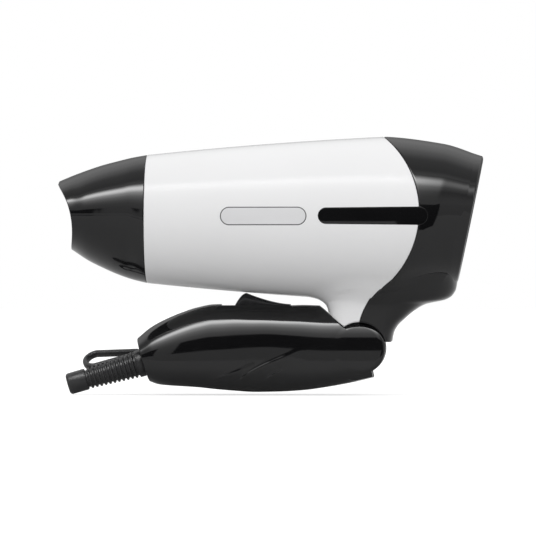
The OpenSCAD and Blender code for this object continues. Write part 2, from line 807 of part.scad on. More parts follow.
// What the grip leaves free beyond its slope and its heel
module beyond_grip() {
    hinge = [hinge_x, hinge_z];
    side_plate(-big, big) polygon([slope_top, slope_foot, hinge + [1, 1.4], hinge + heel_in,
        hinge + heel_in + 4 * (heel_foot - heel_in), [hinge_x + 40, 0], [hinge_x + 40, 60],
        [slope_top[0] - 10, 60]]);
}

// Raised seat under the knob
module knob_pad() {
    x0 = knob_front_x - 0.5;
    x1 = knob_rear_x + 0.5;
    foot_z = track_z - 4;
    top_z = track_z + 0.5;
    half = knob_w / 2 + 1.1;
    intersection() {
        side_plate(-big, big) polygon([[x0 - 4.5, foot_z], [x0, top_z], [x1, top_z], [x1 + 3, foot_z]]);
        translate([x0 - 6, 0, 0]) rotate([90, 0, 90]) linear_extrude(height = x1 - x0 + 12)
            polygon([[-half - 3, foot_z], [-half, top_z], [half, top_z], [half + 3, foot_z]]);
    }
}

module handle_form() {
    difference() {
        loft([for (s = handle_stations) handle_ring(s, 0)]);
        beyond_grip();
    }
    knob_pad();
    intersection() {
        hinge_round(cheek_r, half_w);
        loft([for (x = [-16, 16])
            handle_ring([[hinge_x + x, 4], [hinge_x + x, 43.3], cheek_half, 3.8], 0)]);
    }
}

module handle_hollow() {
    loft([for (k = [1 : cavity_last]) let (s = handle_stations[k],
            push = k == 1 ? end_wall : k == 2 ? 1 : 0)
        handle_ring([s[0] + [push, 0], s[1] + [push, 0], s[2], s[3]], wall)]);
}

// What leaves the handle for the knuckle and its stem
module knuckle_way() {
    hinge_round(knuckle_r + knuckle_room, slot_half);
    side_plate(-slot_half, slot_half) polygon([[hinge_x, hinge_z],
        [hinge_x - bracket_front - hinge_gap, hinge_z], [hinge_x - bracket_front - hinge_gap, hinge_z + 40],
        [hinge_x + 40, hinge_z + 40], [hinge_x + 40, hinge_z - 20],
        [hinge_x + 30 * cos(heel_angle), hinge_z + 30 * sin(heel_angle)]]);
}

handle_screw_at = [[hinge_x - 92, 24], [hinge_x - 62, 9.5], [hinge_x - 22, 15]];
head_r = 2.6;
head_sink = 3;

module handle_shell(side) {
    y0 = side > 0 ? seam_gap / 2 : -half_w - 1;
    y1 = side > 0 ? half_w + 1 : -seam_gap / 2;
    difference() {
        intersection() {
            union() {
                difference() {
                    handle_form();
                    handle_hollow();
                }
                intersection() {
                    handle_form();
                    union() {
                        // screw posts
                        for (p = handle_screw_at) translate([p[0], 0, p[1]]) rotate([90, 0, 0])
                            cylinder(r = 3.2, h = 60, center = true, $fn = 40);
                        // rails beside the switch
                        for (x = [stem_x - 9, stem_x + 8]) for (s = [-1, 1])
                            translate([x, s > 0 ? switch_size[1] / 2 + fit : -20, switch_top - 8])
                                cube([1.6, 20 - switch_size[1] / 2 - fit, 8]);
                        // seats under the switch and the clamp
                        translate([stem_x - 9, -20, switch_top - switch_size[2] - 3 - fit])
                            cube([1.6, 40, 3]);
                        translate([stem_x + 7.4, -20, switch_top - switch_size[2] - 3 - fit])
                            cube([1.6, 40, 3]);
                        translate([clamp_x - 4, -20, 0]) cube([8, 40, clamp_z - fit]);
                        // tray under the capacitor
                        translate([cap_x - 6, -20, 0]) cube([12, 40, cap_z - fit]);
                    }
                }
            }
            translate([-big, y0, -big]) cube([2 * big, y1 - y0, 2 * big]);
        }
        knuckle_way();
        hinge_round(pin_r + 0.05, pin_half + fit);
        // way for the wires from the grip to the pin
        translate([hinge_x, 0, hinge_z]) rotate([0, -100, 0]) cylinder(r = 3, h = 34, $fn = 40);
        ball_frame() rotate([0, 90, 0]) cylinder(r = ball_r + fit, h = knuckle_r + pocket_l, $fn = 40);
        // track and slot of the switch
        translate([knob_front_x - knob_travel - 0.8, -knob_w / 2 - 0.4, track_z])
            cube([knob_l + knob_travel + 1.2, knob_w + 0.8, 20]);
        translate([stem_x - stem[0] / 2 - knob_travel - 0.4, -stem[1] / 2 - 0.4, switch_top + fit])
            cube([stem[0] + knob_travel + 0.8, stem[1] + 0.8, 20]);
        // hole of the strain relief
        relief_frame() translate([0, 0, -20]) cylinder(r = relief_neck_r + fit, h = 40);
        // screws come in from the right
        for (p = handle_screw_at) translate([p[0], 0, p[1]]) rotate([90, 0, 0]) {
            translate([0, 0, -half_w + 1]) cylinder(r = screw_r + 0.05, h = 2 * half_w - 6, $fn = 32);
            translate([0, 0, -half_w - 1]) cylinder(r = head_r + 0.2, h = 1 + head_sink + 1.6, $fn = 32);
        }
        for (s = [-1, 1]) translate([clamp_x, s * clamp_screw_y, 6])
            cylinder(r = screw_r + 0.05, h = 20, $fn = 32);
    }
}

module handle_shell_left() {
    color([0.07, 0.07, 0.08]) handle_shell(-1);
}

module handle_shell_right() {
    color([0.07, 0.07, 0.08]) handle_shell(1);
}

module handle_screws() {
    color("silver") for (p = handle_screw_at)
        translate([p[0], half_w - head_sink - 1.6 + fit, p[1]]) rotate([-90, 0, 0]) screw(22, head_r);
}

module switch_body() {
    color([0.15, 0.15, 0.15]) difference() {
        translate([stem_x - switch_size[0] / 2, -switch_size[1] / 2, switch_top - switch_size[2]])
            cube(switch_size);
        translate([stem_x - stem[0] / 2 - knob_travel - 0.4, -stem[1] / 2 - 0.4, stem_foot_z - 0.3])
            cube([stem[0] + knob_travel + 0.8, stem[1] + 0.8, 20]);
    }
}

module switch_knob() {
    color([0.07, 0.07, 0.08]) {
        // shark-fin cap: steep front, hollow slope to the rear
        intersection() {
            side_plate(-knob_w / 2, knob_w / 2) difference() {
                polygon(concat(
                    [[knob_front_x, knob_foot_z]],
                    [for (i = [0 : 6]) let (t = i / 6)
                        [knob_front_x + (knob_peak_x - knob_front_x) * t,
                            knob_foot_z + 0.6 + (knob_h - 0.6) * (1 - pow(1 - t, 1.8))]],
                    [for (i = [1 : 8]) let (t = i / 8)
                        [knob_peak_x + (knob_rear_x - knob_peak_x) * t,
                            knob_foot_z + 0.8 + (knob_h - 0.8) * pow(1 - t, 1.6)]],
                    [[knob_rear_x, knob_foot_z]]));
            }
            translate([0, 0, knob_foot_z]) rotate([90, 0, 90]) translate([0, 0, knob_front_x - 1])
                linear_extrude(height = knob_l + 2) polygon([
                    [-knob_w / 2, 0], [knob_w / 2, 0], [knob_w / 2 - 0.4, 2.5],
                    [knob_w / 2 - 1.4, knob_h - 0.8], [knob_w / 2 - 2.4, knob_h + 0.2],
                    [-knob_w / 2 + 2.4, knob_h + 0.2], [-knob_w / 2 + 1.4, knob_h - 0.8],
                    [-knob_w / 2 + 0.4, 2.5]]);
        }
        translate([stem_x - stem[0] / 2, -stem[1] / 2, stem_foot_z])
            cube([stem[0], stem[1], knob_foot_z - stem_foot_z + 0.4]);
    }
}

cap_x = hinge_x - 40;
cap_z = 6.4;

module capacitor() {
    color("gold") translate([cap_x - 9, -4, cap_z]) cube([18, 8, 13]);
}

clamp_x = hinge_x - 82;
clamp_z = 9;
clamp_screw_y = 9;
clamp_t = 3;

module cord_clamp() {
    color([0.2, 0.2, 0.22]) difference() {
        translate([clamp_x - 3.5, -12.5, clamp_z]) cube([7, 25, clamp_t]);
        for (s = [-1, 1]) translate([clamp_x, s * clamp_screw_y, clamp_z - 1])
            cylinder(r = screw_r + 0.1, h = 10, $fn = 32);
    }
}

module clamp_screws() {
    color("silver") for (s = [-1, 1])
        translate([clamp_x, s * clamp_screw_y, clamp_z + clamp_t + fit]) screw(clamp_z - 6.5, 2.4);
}

module strain_relief() {
    color([0.09, 0.09, 0.1]) relief_frame() difference() {
        rotate_extrude() polygon(concat(
            [[0, -relief_wall - 2], [relief_neck_r + 2, -relief_wall - 2], [relief_neck_r + 2, -relief_wall],
             [relief_neck_r, -relief_wall], [relief_neck_r, collar_l]],
            [for (k = [0 : rib_count - 1]) let (z = collar_l + k * rib_pitch,
                    r = rib_r0 + (rib_r1 - rib_r0) * (k + 1) / rib_count) each
                [[r - rib_depth, z + 0.1], [r - rib_depth, z + rib_pitch - rib_l], [r - 0.2, z + rib_pitch - rib_l],
                 [r, z + rib_pitch - rib_l + 0.25], [r, z + rib_pitch - 0.25], [r - 0.2, z + rib_pitch]]],
            [[rib_r1 - rib_depth, relief_l - cap_l - 0.9], [rib_r1 - rib_depth, relief_l - cap_l],
             [rib_r1 - 0.3, relief_l - cap_l], [rib_r1 - 0.1, relief_l - cap_l + 0.5], [rib_r1 - 0.1, relief_l - 1],
             [rib_r1 - 0.9, relief_l], [0, relief_l]]));
        translate([0, 0, -30]) cylinder(r = cord_bore_r, h = relief_l + 60);
    }
}

// Ring round the relief's neck, and a drop-shaped strap that leans to the far side
module hang_loop() {
    near_r = 2.2;
    far_r = loop_w / 2 + strap_t;
    clear_v = rib_r0 + 0.3;                  // under edge of the strap
    lean = asin((far_r - near_r) / loop_l);
    color([0.09, 0.09, 0.1]) relief_frame() {
        difference() {
            translate([0, 0, 0.9]) cylinder(r = rib_r0, h = collar_l - 1.1);
            translate([0, 0, -1]) cylinder(r = relief_neck_r + fit, h = collar_l + 2);
        }
        rotate([0, 0, loop_lean]) {
            translate([rib_r0 - 0.6, 0.3 - strap_w / 2, 1.1])
                cube([1.6 + near_r, strap_w - 0.6, collar_l - 1.6]);
            translate([clear_v + near_r, strap_w / 2, collar_l - 0.9]) rotate([0, lean, 0])
                rotate([90, -90, 0]) linear_extrude(height = strap_w) difference() {
                    polygon([for (p = oblong(-near_r, near_r, loop_l + far_r, far_r)) [p[0], -p[1]]]);
                    polygon([for (p = oblong(near_r + 1, 0.8, loop_l + far_r - strap_t, far_r - strap_t))
                        [p[0], -p[1]]]);
                }
        }
    }
}

module handle_wires() {
    gap = 4 * fit;
    color("navy") for (side = [-1, 1]) {
        // from the clamp to the switch
        wire([[clamp_x + 3.5 + gap, side * 3, clamp_z + 1.5], [clamp_x + 10, side * 3, clamp_z + 3],
            [stem_x - 20, side * 4, switch_top - 14], [stem_x - 16, side * 4, switch_top - 8],
            [stem_x - switch_size[0] / 2 - gap, side * 4, switch_top - 8]], lead_r);
        // from the switch into the way to the hinge
        wire([[stem_x + switch_size[0] / 2 + gap, side * 4, switch_top - 8],
            [stem_x + 15, side * 3, switch_top - 10], [stem_x + 17.5, side * 1.4, hinge_z - 4],
            [hinge_x - 16, side * 1.4, hinge_z - 2.8]], lead_r);
    }
}

module nozzle() {
    mouth_x = barrel_front_x - nozzle_length;
    reach = nozzle_length + 5;
    taper = (2 * front_r - mouth_h) / 32.8;
    // share of the length, top drop, under rise, half width
    steps = [[0, 0, 0, front_r], [0.17, 1.3, 1.8, front_r - 0.3], [0.345, 3.1, 4.4, front_r - 0.9],
        [0.505, 4.9, 7.4, front_r - 1.5], [0.67, 7.2, 10.9, front_r - 2.2],
        [0.835, 9.8, 15.5, mouth_w / 2 + 0.4], [1, 12.7, 20.1, mouth_w / 2]];
    function section(inset) = [for (s = steps)
        let (top = axis_z + front_r - taper * s[1] - inset, under = axis_z - front_r + taper * s[2] + inset)
        [for (i = [0 : 39]) let (p = squircle(-360 * i / 40, 2))
            [barrel_front_x - rim_gap - s[0] * reach, (s[3] - inset) * p[0], (top + under) / 2 + (top - under) / 2 * p[1]]]];
    color([0.07, 0.07, 0.08]) difference() {
        loft(section(0));
        difference() {
            loft([for (ring = section(nozzle_wall)) [for (p = ring) p + [ring[0][0] < barrel_front_x - 40 ? -1 : 0, 0, 0]]]);
            axis_ring(barrel_front_x - spigot_length - 1.5, barrel_front_x + 2, front_r + 5);
        }
        axis_ring(spigot_x - 0.6, barrel_front_x + 1, spigot_r + spigot_gap);
        axis_ring(spigot_x - 3, barrel_front_x + 1, spigot_r - 1);
        // mouth edge, hollow towards the rear
        translate([mouth_x - mouth_hollow_r + 2.3, 0, axis_z - 4.2]) rotate([90, 0, 0])
            cylinder(r = mouth_hollow_r, h = 200, center = true, $fn = 180);
    }
}

main_housing();
rear_housing();
inlet_grille();
dust_filter();
trim_left();
trim_right();
badge_left();
badge_right();
outlet_grille();
heat_shield();
mica_board_upright();
mica_board_flat();
heater_coil();
thermostat();
thermal_fuse();
heater_leads();
fan_duct();
motor();
rectifier_board();
diodes();
hinge_bracket();
bracket_screws();
nozzle();
fan();
motor_shaft();
handle_shell_left();
handle_shell_right();
handle_screws();
pivot_pin();
pivot_washers();
detent_ball();
detent_spring();
switch_body();
capacitor();
cord_clamp();
clamp_screws();
strain_relief();
hang_loop();
handle_wires();
switch_knob();
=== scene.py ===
import json
import math

import bmesh
import bpy
import numpy as np
from mathutils import Matrix, Vector


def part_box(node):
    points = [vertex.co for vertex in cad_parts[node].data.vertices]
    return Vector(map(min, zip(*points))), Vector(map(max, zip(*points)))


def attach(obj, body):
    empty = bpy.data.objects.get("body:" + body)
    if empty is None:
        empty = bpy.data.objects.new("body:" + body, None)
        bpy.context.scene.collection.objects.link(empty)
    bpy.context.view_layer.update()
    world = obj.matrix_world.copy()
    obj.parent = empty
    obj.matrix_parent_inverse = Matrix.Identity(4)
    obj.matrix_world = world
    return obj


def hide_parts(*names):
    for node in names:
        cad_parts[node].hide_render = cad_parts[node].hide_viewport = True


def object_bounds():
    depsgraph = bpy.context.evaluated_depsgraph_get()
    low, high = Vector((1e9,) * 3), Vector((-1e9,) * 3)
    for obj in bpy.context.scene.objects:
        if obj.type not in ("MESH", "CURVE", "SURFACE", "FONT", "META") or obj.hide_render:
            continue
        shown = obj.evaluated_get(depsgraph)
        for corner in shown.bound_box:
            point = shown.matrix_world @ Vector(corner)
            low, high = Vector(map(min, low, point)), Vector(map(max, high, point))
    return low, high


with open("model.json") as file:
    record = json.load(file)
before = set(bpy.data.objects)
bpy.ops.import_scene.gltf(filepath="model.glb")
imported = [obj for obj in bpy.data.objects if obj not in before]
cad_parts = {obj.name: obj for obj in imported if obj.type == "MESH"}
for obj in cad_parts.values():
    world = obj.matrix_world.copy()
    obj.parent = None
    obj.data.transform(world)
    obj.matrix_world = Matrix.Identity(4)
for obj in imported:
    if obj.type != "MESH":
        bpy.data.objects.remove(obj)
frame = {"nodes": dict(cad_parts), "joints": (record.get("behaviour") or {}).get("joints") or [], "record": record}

cadBox = [list(v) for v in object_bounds()]
nodes = frame["nodes"]
joints = {j["name"]: j for j in frame["joints"]}
mounts = {m["name"]: m for m in frame["record"]["mounts"]}
scene = bpy.context.scene


def inMm(v):
    return np.array(v, float) * 1000


hingeX, _, hingeZ = inMm(joints["handle_fold"]["pos_m"])
axisZ = inMm(joints["fan_spin"]["pos_m"])[2]
inletAxis = np.array(mounts["inlet_rim"]["axis"], float)
inletAt = inMm(mounts["inlet_rim"]["pos_m"]) * [1, 0, 1]
reliefOut = np.array(mounts["cord_bore"]["axis"], float)
nozzleRimX = inMm(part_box("nozzle")[1])[0]
barrelFrontX = nozzleRimX + 0.15


# sets a node's sockets to values, or links them to the outputs of other nodes
def plug(tree, node, sockets):
    for name, value in dict(sockets).items():
        if isinstance(value, bpy.types.Node):
            value = value.outputs[0]
        if isinstance(value, bpy.types.NodeSocket):
            tree.links.new(value, node.inputs[name])
        else:
            node.inputs[name].default_value = value
    return node


def addNode(tree, kind, sockets=(), **settings):
    made = tree.nodes.new(kind)
    for name, value in settings.items():
        setattr(made, name, value)
    return plug(tree, made, sockets)


def calc(tree, operation, first, second):
    return addNode(tree, "ShaderNodeMath", {0: first, 1: second}, operation=operation)


def vector(tree, x=0, y=0, z=0):
    return addNode(tree, "ShaderNodeCombineXYZ", {"X": x, "Y": y, "Z": z})


def mapRange(tree, source, low, high, start, end, **settings):
    return addNode(tree, "ShaderNodeMapRange", {
        "Value": source, "From Min": low, "From Max": high, "To Min": start, "To Max": end}, **settings)


# scales: the noise in roughness, tone and grain
usual = dict(scales=(300, 90, 900), depth=0.0001, specular=0.5, metal=0, glow=0, stretch=None)
looks = {
    "shell_white": dict(color=(0.86, 0.86, 0.865), shade=(0.845, 0.845, 0.85), rough=(0.1, 0.13),
                        scales=(90, 25, 160), bump=0.02, depth=0.0002, specular=0.09),
    "shell_black": dict(color=(0.0055, 0.0055, 0.006), shade=(0.0075, 0.0075, 0.008),
                        rough=(0.055, 0.085), scales=(120, 30, 110), bump=0.012, depth=0.0002),
    "knob_black": dict(color=(0.008, 0.008, 0.009), shade=(0.011, 0.011, 0.012), rough=(0.2, 0.28),
                       scales=(300, 60, 1400), bump=0.05),
    "grille_black": dict(color=(0.014, 0.014, 0.015), shade=(0.02, 0.02, 0.021), rough=(0.38, 0.5),
                         scales=(300, 80, 2200), bump=0.12),
    "badge_plate": dict(color=(0.78, 0.78, 0.79), shade=(0.74, 0.74, 0.75), rough=(0.1, 0.14),
                        scales=(200, 60, 300), bump=0.02),
    "rubber_black": dict(color=(0.016, 0.016, 0.017), shade=(0.024, 0.024, 0.025), rough=(0.3, 0.42),
                         scales=(260, 90, 1600), bump=0.1, glow=0.05),
    "plastic_inner": dict(color=(0.05, 0.05, 0.055), shade=(0.07, 0.07, 0.075), rough=(0.4, 0.55),
                          scales=(200, 60, 1500), bump=0.1),
    "steel": dict(color=(0.56, 0.57, 0.59), shade=(0.48, 0.49, 0.5), rough=(0.22, 0.36), metal=1,
                  scales=(500, 120, 900), bump=0.06, stretch=(8, 1, 1)),
    "heater_wire": dict(color=(0.4, 0.37, 0.34), shade=(0.3, 0.27, 0.25), rough=(0.35, 0.5), metal=1,
                        scales=(500, 200, 1500), bump=0.1),
    "mica": dict(color=(0.55, 0.47, 0.33), shade=(0.45, 0.38, 0.26), rough=(0.4, 0.6),
                 scales=(200, 90, 800), bump=0.2, stretch=(1, 1, 6)),
    "circuit_board": dict(color=(0.03, 0.14, 0.05), shade=(0.04, 0.17, 0.07), rough=(0.3, 0.45), bump=0.1),
    "filter_mesh": dict(color=(0.012, 0.012, 0.012), shade=(0.03, 0.03, 0.03), rough=(0.8, 0.95),
                        scales=(900, 1400, 2400), bump=0.8, depth=0.0004),
    "wire_insulation": dict(color=(0.02, 0.04, 0.2), shade=(0.03, 0.05, 0.24), rough=(0.3, 0.4), bump=0.05),
    "outline_grey": dict(color=(0.09, 0.09, 0.095), shade=(0.11, 0.11, 0.115), rough=(0.25, 0.35), bump=0.02),
}


def nodeMaterial(name, values):
    v = {**usual, **values}
    material = bpy.data.materials.new(name)
    material.use_nodes = True
    tree = material.node_tree
    shader = tree.nodes["Principled BSDF"]

    def noise(scale, detail, stretch=None):
        at = addNode(tree, "ShaderNodeTexCoord").outputs["Object"]
        if stretch:
            at = addNode(tree, "ShaderNodeMapping", {"Vector": at, "Scale": stretch})
        return addNode(tree, "ShaderNodeTexNoise", {"Vector": at, "Scale": scale, "Detail": detail})

    roughNoise = noise(v["scales"][0], 4, v["stretch"])
    tone = mapRange(tree, noise(v["scales"][1], 2), 0.3, 0.7, 0, 1)
    color, shade = (*v["color"], 1), (*v["shade"], 1)
    mix = addNode(tree, "ShaderNodeMix", {0: tone}, data_type="RGBA")
    mix.inputs[6].default_value, mix.inputs[7].default_value = color, shade  # the colour mix's two ends
    bump = addNode(tree, "ShaderNodeBump", {"Strength": v["bump"], "Distance": v["depth"],
                                            "Height": noise(v["scales"][2], 2, v["stretch"])})
    roughness = mapRange(tree, roughNoise, 0.3, 0.7, *v["rough"])
    plug(tree, shader, {"Base Color": color, "Metallic": v["metal"], "Specular IOR Level": v["specular"],
                        "Sheen Weight": v["glow"], "Roughness": roughness, "Normal": bump})
    plug(tree, shader, {"Base Color": mix.outputs[2]})
    return material


materials = {name: nodeMaterial(name, values) for name, values in looks.items()}
for entry in frame["record"]["subparts"]:
    mesh = nodes[entry["node"]].data
    mesh.materials.clear()
    mesh.materials.append(materials[entry["material_slot"]])
    mesh.polygons.foreach_set("material_index", np.zeros(len(mesh.polygons), np.int32))
print("materials", len(materials))


# cubic curve through rows of values that never overshoots them
def cubic(keys, values, at):
    keys, values, at = (np.asarray(v, float) for v in (keys, values, at))
    flat = values.reshape(len(keys), -1)
    h = np.diff(keys)[:, None]
    rise = np.diff(flat, axis=0) / h
    slope = np.zeros_like(flat)
    first, second = 2 * h[1:] + h[:-1], h[1:] + 2 * h[:-1]
    same = rise[:-1] * rise[1:] > 0
    before, after = np.where(same, rise[:-1], 1), np.where(same, rise[1:], 1)
    slope[1:-1] = np.where(same, (first + second) / (first / before + second / after), 0)
    slope[0], slope[-1] = rise[0], rise[-1]
    i = np.clip(np.searchsorted(keys, at.ravel(), side="right") - 1, 0, len(keys) - 2)
    t = (at.ravel() - keys[i])[:, None] / h[i]
    value = (flat[i] * (1 + 2 * t) * (1 - t) ** 2 + h[i] * slope[i] * t * (1 - t) ** 2
             + flat[i + 1] * t ** 2 * (3 - 2 * t) + h[i] * slope[i + 1] * t ** 2 * (t - 1))
    return value.reshape(at.shape + values.shape[1:])


def unit(v):
    return v / np.maximum(np.linalg.norm(v, axis=-1, keepdims=True), 1e-12)


def fullTurn(count):
    return np.linspace(0, 2 * math.pi, count, endpoint=False)


def quarterTurn(count):
    return np.linspace(0, math.pi / 2, count)


# distances along a line of points
def measured(points):
    return np.concatenate([[0], np.cumsum(np.linalg.norm(np.diff(points, axis=0), axis=1))])


# a squarish circle: 2 is round, more is squarer
def polar(angle, power):
    c, s = np.cos(angle), np.sin(angle)
    k = (np.abs(c) ** power + np.abs(s) ** power) ** (-1 / power)
    return c * k, s * k


# halves the way between low and high until the last place that is still short of the goal
def halve(low, high, short, times):
    for _ in range(times):
        middle = (low + high) / 2
        under = short(middle)
        low, high = np.where(under, middle, low), np.where(under, high, middle)
    return low, high


def quads(rows, cols, wrap=False, closed=False, start=0):
    r, c = np.meshgrid(np.arange(rows if closed else rows - 1), np.arange(cols if wrap else cols - 1),
                       indexing="ij")
    d, q = (c + 1) % cols, (r + 1) % rows
    faces = np.stack([r * cols + c, r * cols + d, q * cols + d, q * cols + c], -1)
    return (start + faces.reshape(-1, 4)).tolist()


# collects closed bodies of faces for one object, in millimetres
class Build:
    def __init__(self):
        self.points, self.faces, self.count = [], [], 0

    def add(self, points, faces):
        points = np.asarray(points, float).reshape(-1, 3)
        self.faces += [[i + self.count for i in f] for f in faces]
        self.points.append(points)
        self.count += len(points)

    # closed rings of points one after another, with flat ends
    def tube(self, rings, caps=True):
        rows, cols = np.shape(rings)[:2]
        faces = quads(rows, cols, True)
        if caps:
            faces.append(list(range(cols))[::-1])
            faces.append([(rows - 1) * cols + i for i in range(cols)])
        self.add(rings, faces)

    # closed both ways, like a torus
    def ring(self, rings):
        rows, cols = np.shape(rings)[:2]
        self.add(rings, quads(rows, cols, True, True))

    # a patch of surface made a solid wall with rolled edges; wrap joins its last column to the first
    def skin(self, patch, wall, edge, wrap=False, turned=1):
        rows, cols = patch.shape[:2]
        alongCols = np.roll(patch, -1, 1) - np.roll(patch, 1, 1) if wrap else np.gradient(patch, axis=1)
        normals = turned * unit(np.cross(np.gradient(patch, axis=0), alongCols))
        outer, inner, rolls = patch.copy(), patch - normals * wall, []
        faces = quads(rows, cols, wrap) + [f[::-1] for f in quads(rows, cols, wrap, start=rows * cols)]
        total = 2 * rows * cols
        first, last = [[(r, c) for c in range(cols)] for r in (0, rows - 1)]
        loops = [first, last]
        if not wrap:
            loops = [first + [(r, cols - 1) for r in range(1, rows)] + last[-2::-1]
                     + [(r, 0) for r in range(rows - 2, 0, -1)]]
        for loop in loops:
            r, c = np.array(loop).T
            at, normal, count = patch[r, c], normals[r, c], len(loop)
            inward = patch[np.clip(r, 1, rows - 2), c if wrap else np.clip(c, 1, cols - 2)] - at
            outward = unit(np.cross(np.roll(at, -1, 0) - np.roll(at, 1, 0), normal))
            outward *= -np.sign((outward * inward).sum(1, keepdims=True) + 1e-12)
            outer[r, c] = at - outward * edge
            rolled = [at - outward * edge * (1 - math.sin(a)) - normal * edge * (1 - math.cos(a))
                      for a in quarterTurn(4)[1:]]
            rolled.append(at - normal * (wall - 0.02))  # just short of the inner face
            chain = [total + count * i + np.arange(count) for i in range(len(rolled))]
            chain = [r * cols + c, *chain, rows * cols + r * cols + c]
            for a, b in zip(chain, chain[1:]):
                faces += np.stack([a, b, np.roll(b, -1), np.roll(a, -1)], -1).tolist()
            total += count * len(rolled)
            rolls += rolled
        self.add(np.concatenate([outer.reshape(-1, 3), inner.reshape(-1, 3)] + rolls), faces)

    def mesh(self, name):
        made = bpy.data.meshes.new(name)
        made.from_pydata((np.concatenate(self.points) * 0.001).tolist(), [], self.faces)
        return made

    def make(self, name, look, body, replaced=None, sharp=32, slot=None):
        dress(shown(name, mend(self.mesh(name), merge=1e-7)), look, body, replaced, sharp)


def shown(name, data):
    thing = bpy.data.objects.new(name, data)
    scene.collection.objects.link(thing)
    return thing


# joins others to a mesh, merges points, drops slivers and turns the faces outwards
def mend(mesh, others=(), merge=0, sliver=0):
    work = bmesh.new()
    for part in (mesh, *others):
        work.from_mesh(part)
    if merge:
        bmesh.ops.remove_doubles(work, verts=work.verts, dist=merge)
    if sliver:
        bmesh.ops.dissolve_degenerate(work, edges=work.edges, dist=sliver)
    bmesh.ops.recalc_face_normals(work, faces=work.faces)
    work.to_mesh(mesh)
    work.free()
    return mesh


# look, shading, body and the CAD node that the piece stands in for
def dress(thing, look, body, replaced=None, sharp=32):
    mesh = thing.data
    mesh.materials.clear()
    mesh.materials.append(materials[look])
    mesh.polygons.foreach_set("material_index", np.zeros(len(mesh.polygons), np.int32))
    mesh.polygons.foreach_set("use_smooth", np.ones(len(mesh.polygons), bool))
    mesh.set_sharp_from_angle(angle=math.radians(sharp))
    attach(thing, body)
    if replaced:
        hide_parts(replaced)


def evaluated(thing):
    return bpy.data.meshes.new_from_object(thing.evaluated_get(bpy.context.evaluated_depsgraph_get()))


# takes one closed form out of another, joins them or keeps what they share
def carve(thing, tool, operation="DIFFERENCE"):
    m = thing.modifiers.new("cut", "BOOLEAN")
    m.operation, m.object, m.solver = operation, tool, "MANIFOLD"
    done = evaluated(thing)
    thing.modifiers.remove(m)
    thing.data = done
    bpy.data.objects.remove(tool)


# a form for carving, never seen
def cutter(build):
    thing = shown("cutter", mend(build.mesh("cutter")))
    thing.hide_render = True
    return thing


# rings about a line; profile rows are (distance along, radius)
def revolve(profile, count, origin, along):
    profile, along = np.asarray(profile, float), np.asarray(along, float)
    across = np.array([0, 1, 0] if abs(along[1]) < 0.5 else [1, 0, 0])
    a = fullTurn(count)[:, None]
    spin = np.cos(a) * across + np.sin(a) * np.cross(along, across)
    return origin + profile[:, 0][:, None, None] * along + profile[:, 1][:, None, None] * spin


barrel = dict(frontR=31.1, wideR=39.9, wideX=55.3, bulge=0.85, rearDrop=1.6, rearSpan=16.5, rearPower=1.45,
              wall=2.2, spigotR=27.4, spigotLength=9.4, spigotWall=2, throat=2.6, edge=0.4, gap=0.1)
# an upper and a lower arc in X and Z that flow into each other
seam = dict(topX=25, topZ=axisZ + 3.2, topR=47, flatX=54, lowX=hingeX + 30.2, lowZ=hingeZ + 5.5,
            lowR=30.9, soften=1.2)
# dome: distance from the inlet's face and how much the radius grows
inlet = dict(sideFull=0.5, sideFrom=4, faceR=29.2, holeR=27.5, recess=3.2, ledge=2, creaseMiddle=7.0,
             creaseSwing=3.0, lip=1.2, dome=[[0, 0], [1.2, 2.2], [6, 3.7], [11, 5.4], [20, 9.6], [34, 20]])
# height, front and rear in X, half width, squareness; above the hinge, then below the barrel's axis
neckLow = [[1.6, -15, 15.5, 16.4, 3.6], [7.8, -14.8, 16.7, 16.4, 3.6], [11.2, -14.6, 18.6, 16.5, 3.5],
           [14.5, -15, 22, 16.6, 3.4], [18.2, -15.3, 26.4, 16.9, 3.2], [21.4, -15.9, 31.9, 17.5, 3]]
neckHigh = [[-39, -16.8, 41.8, 18.6, 2.8], [-37.1, -17.8, 44.8, 19.6, 2.7], [-33.5, -19, 46.8, 21, 2.6],
            [-28.7, -20, 47.4, 21.6, 2.6], [-21.7, -20, 46, 21, 2.6]]
neckLevels = np.concatenate([np.array(neckLow) + [hingeZ, hingeX, hingeX, 0, 0],
                             np.array(neckHigh) + [axisZ, hingeX, hingeX, 0, 0]])
arch = dict(r=13.0, slopeTop=(hingeX - 19.14, hingeZ + 20.9), slopeFoot=(hingeX - 7.04, hingeZ + 10.6),
            foot=hingeZ + 3.3, top=axisZ - 23, floorFront=hingeX - 14.2, floorRear=hingeX + 15.2,
            floorSeamZ=hingeZ + 13.0, floorRise=0.02, floorInset=0.6, floorWall=-1.2, floorEdge=0.2,
            skinEdge=0.35)
# how neck and barrel flow together: rounding, how deep the hidden part still follows, and the limits
blend = dict(neck=7.0, rear=5.0, lean=0.9, reach=2.0, taper=2.5, sink=0.03, farOff=12, inletCalm=1,
             inletSpan=7, most=3.5, probe=0.05, stride=0.7, start=12, rows=12)
inletUp = np.cross(inletAxis, [0, 1, 0])
inletUp = inletUp * np.sign(inletUp[2])


def barrelRadius(x):
    b = barrel
    t = (x - barrelFrontX) / (b["wideX"] - barrelFrontX)
    front = b["frontR"] + (b["wideR"] - b["frontR"]) * t + b["bulge"] * 4 * t * (1 - t)
    rear = b["wideR"] - b["rearDrop"] * (np.maximum(x - b["wideX"], 0) / b["rearSpan"]) ** b["rearPower"]
    return np.where(x <= b["wideX"], front, rear)


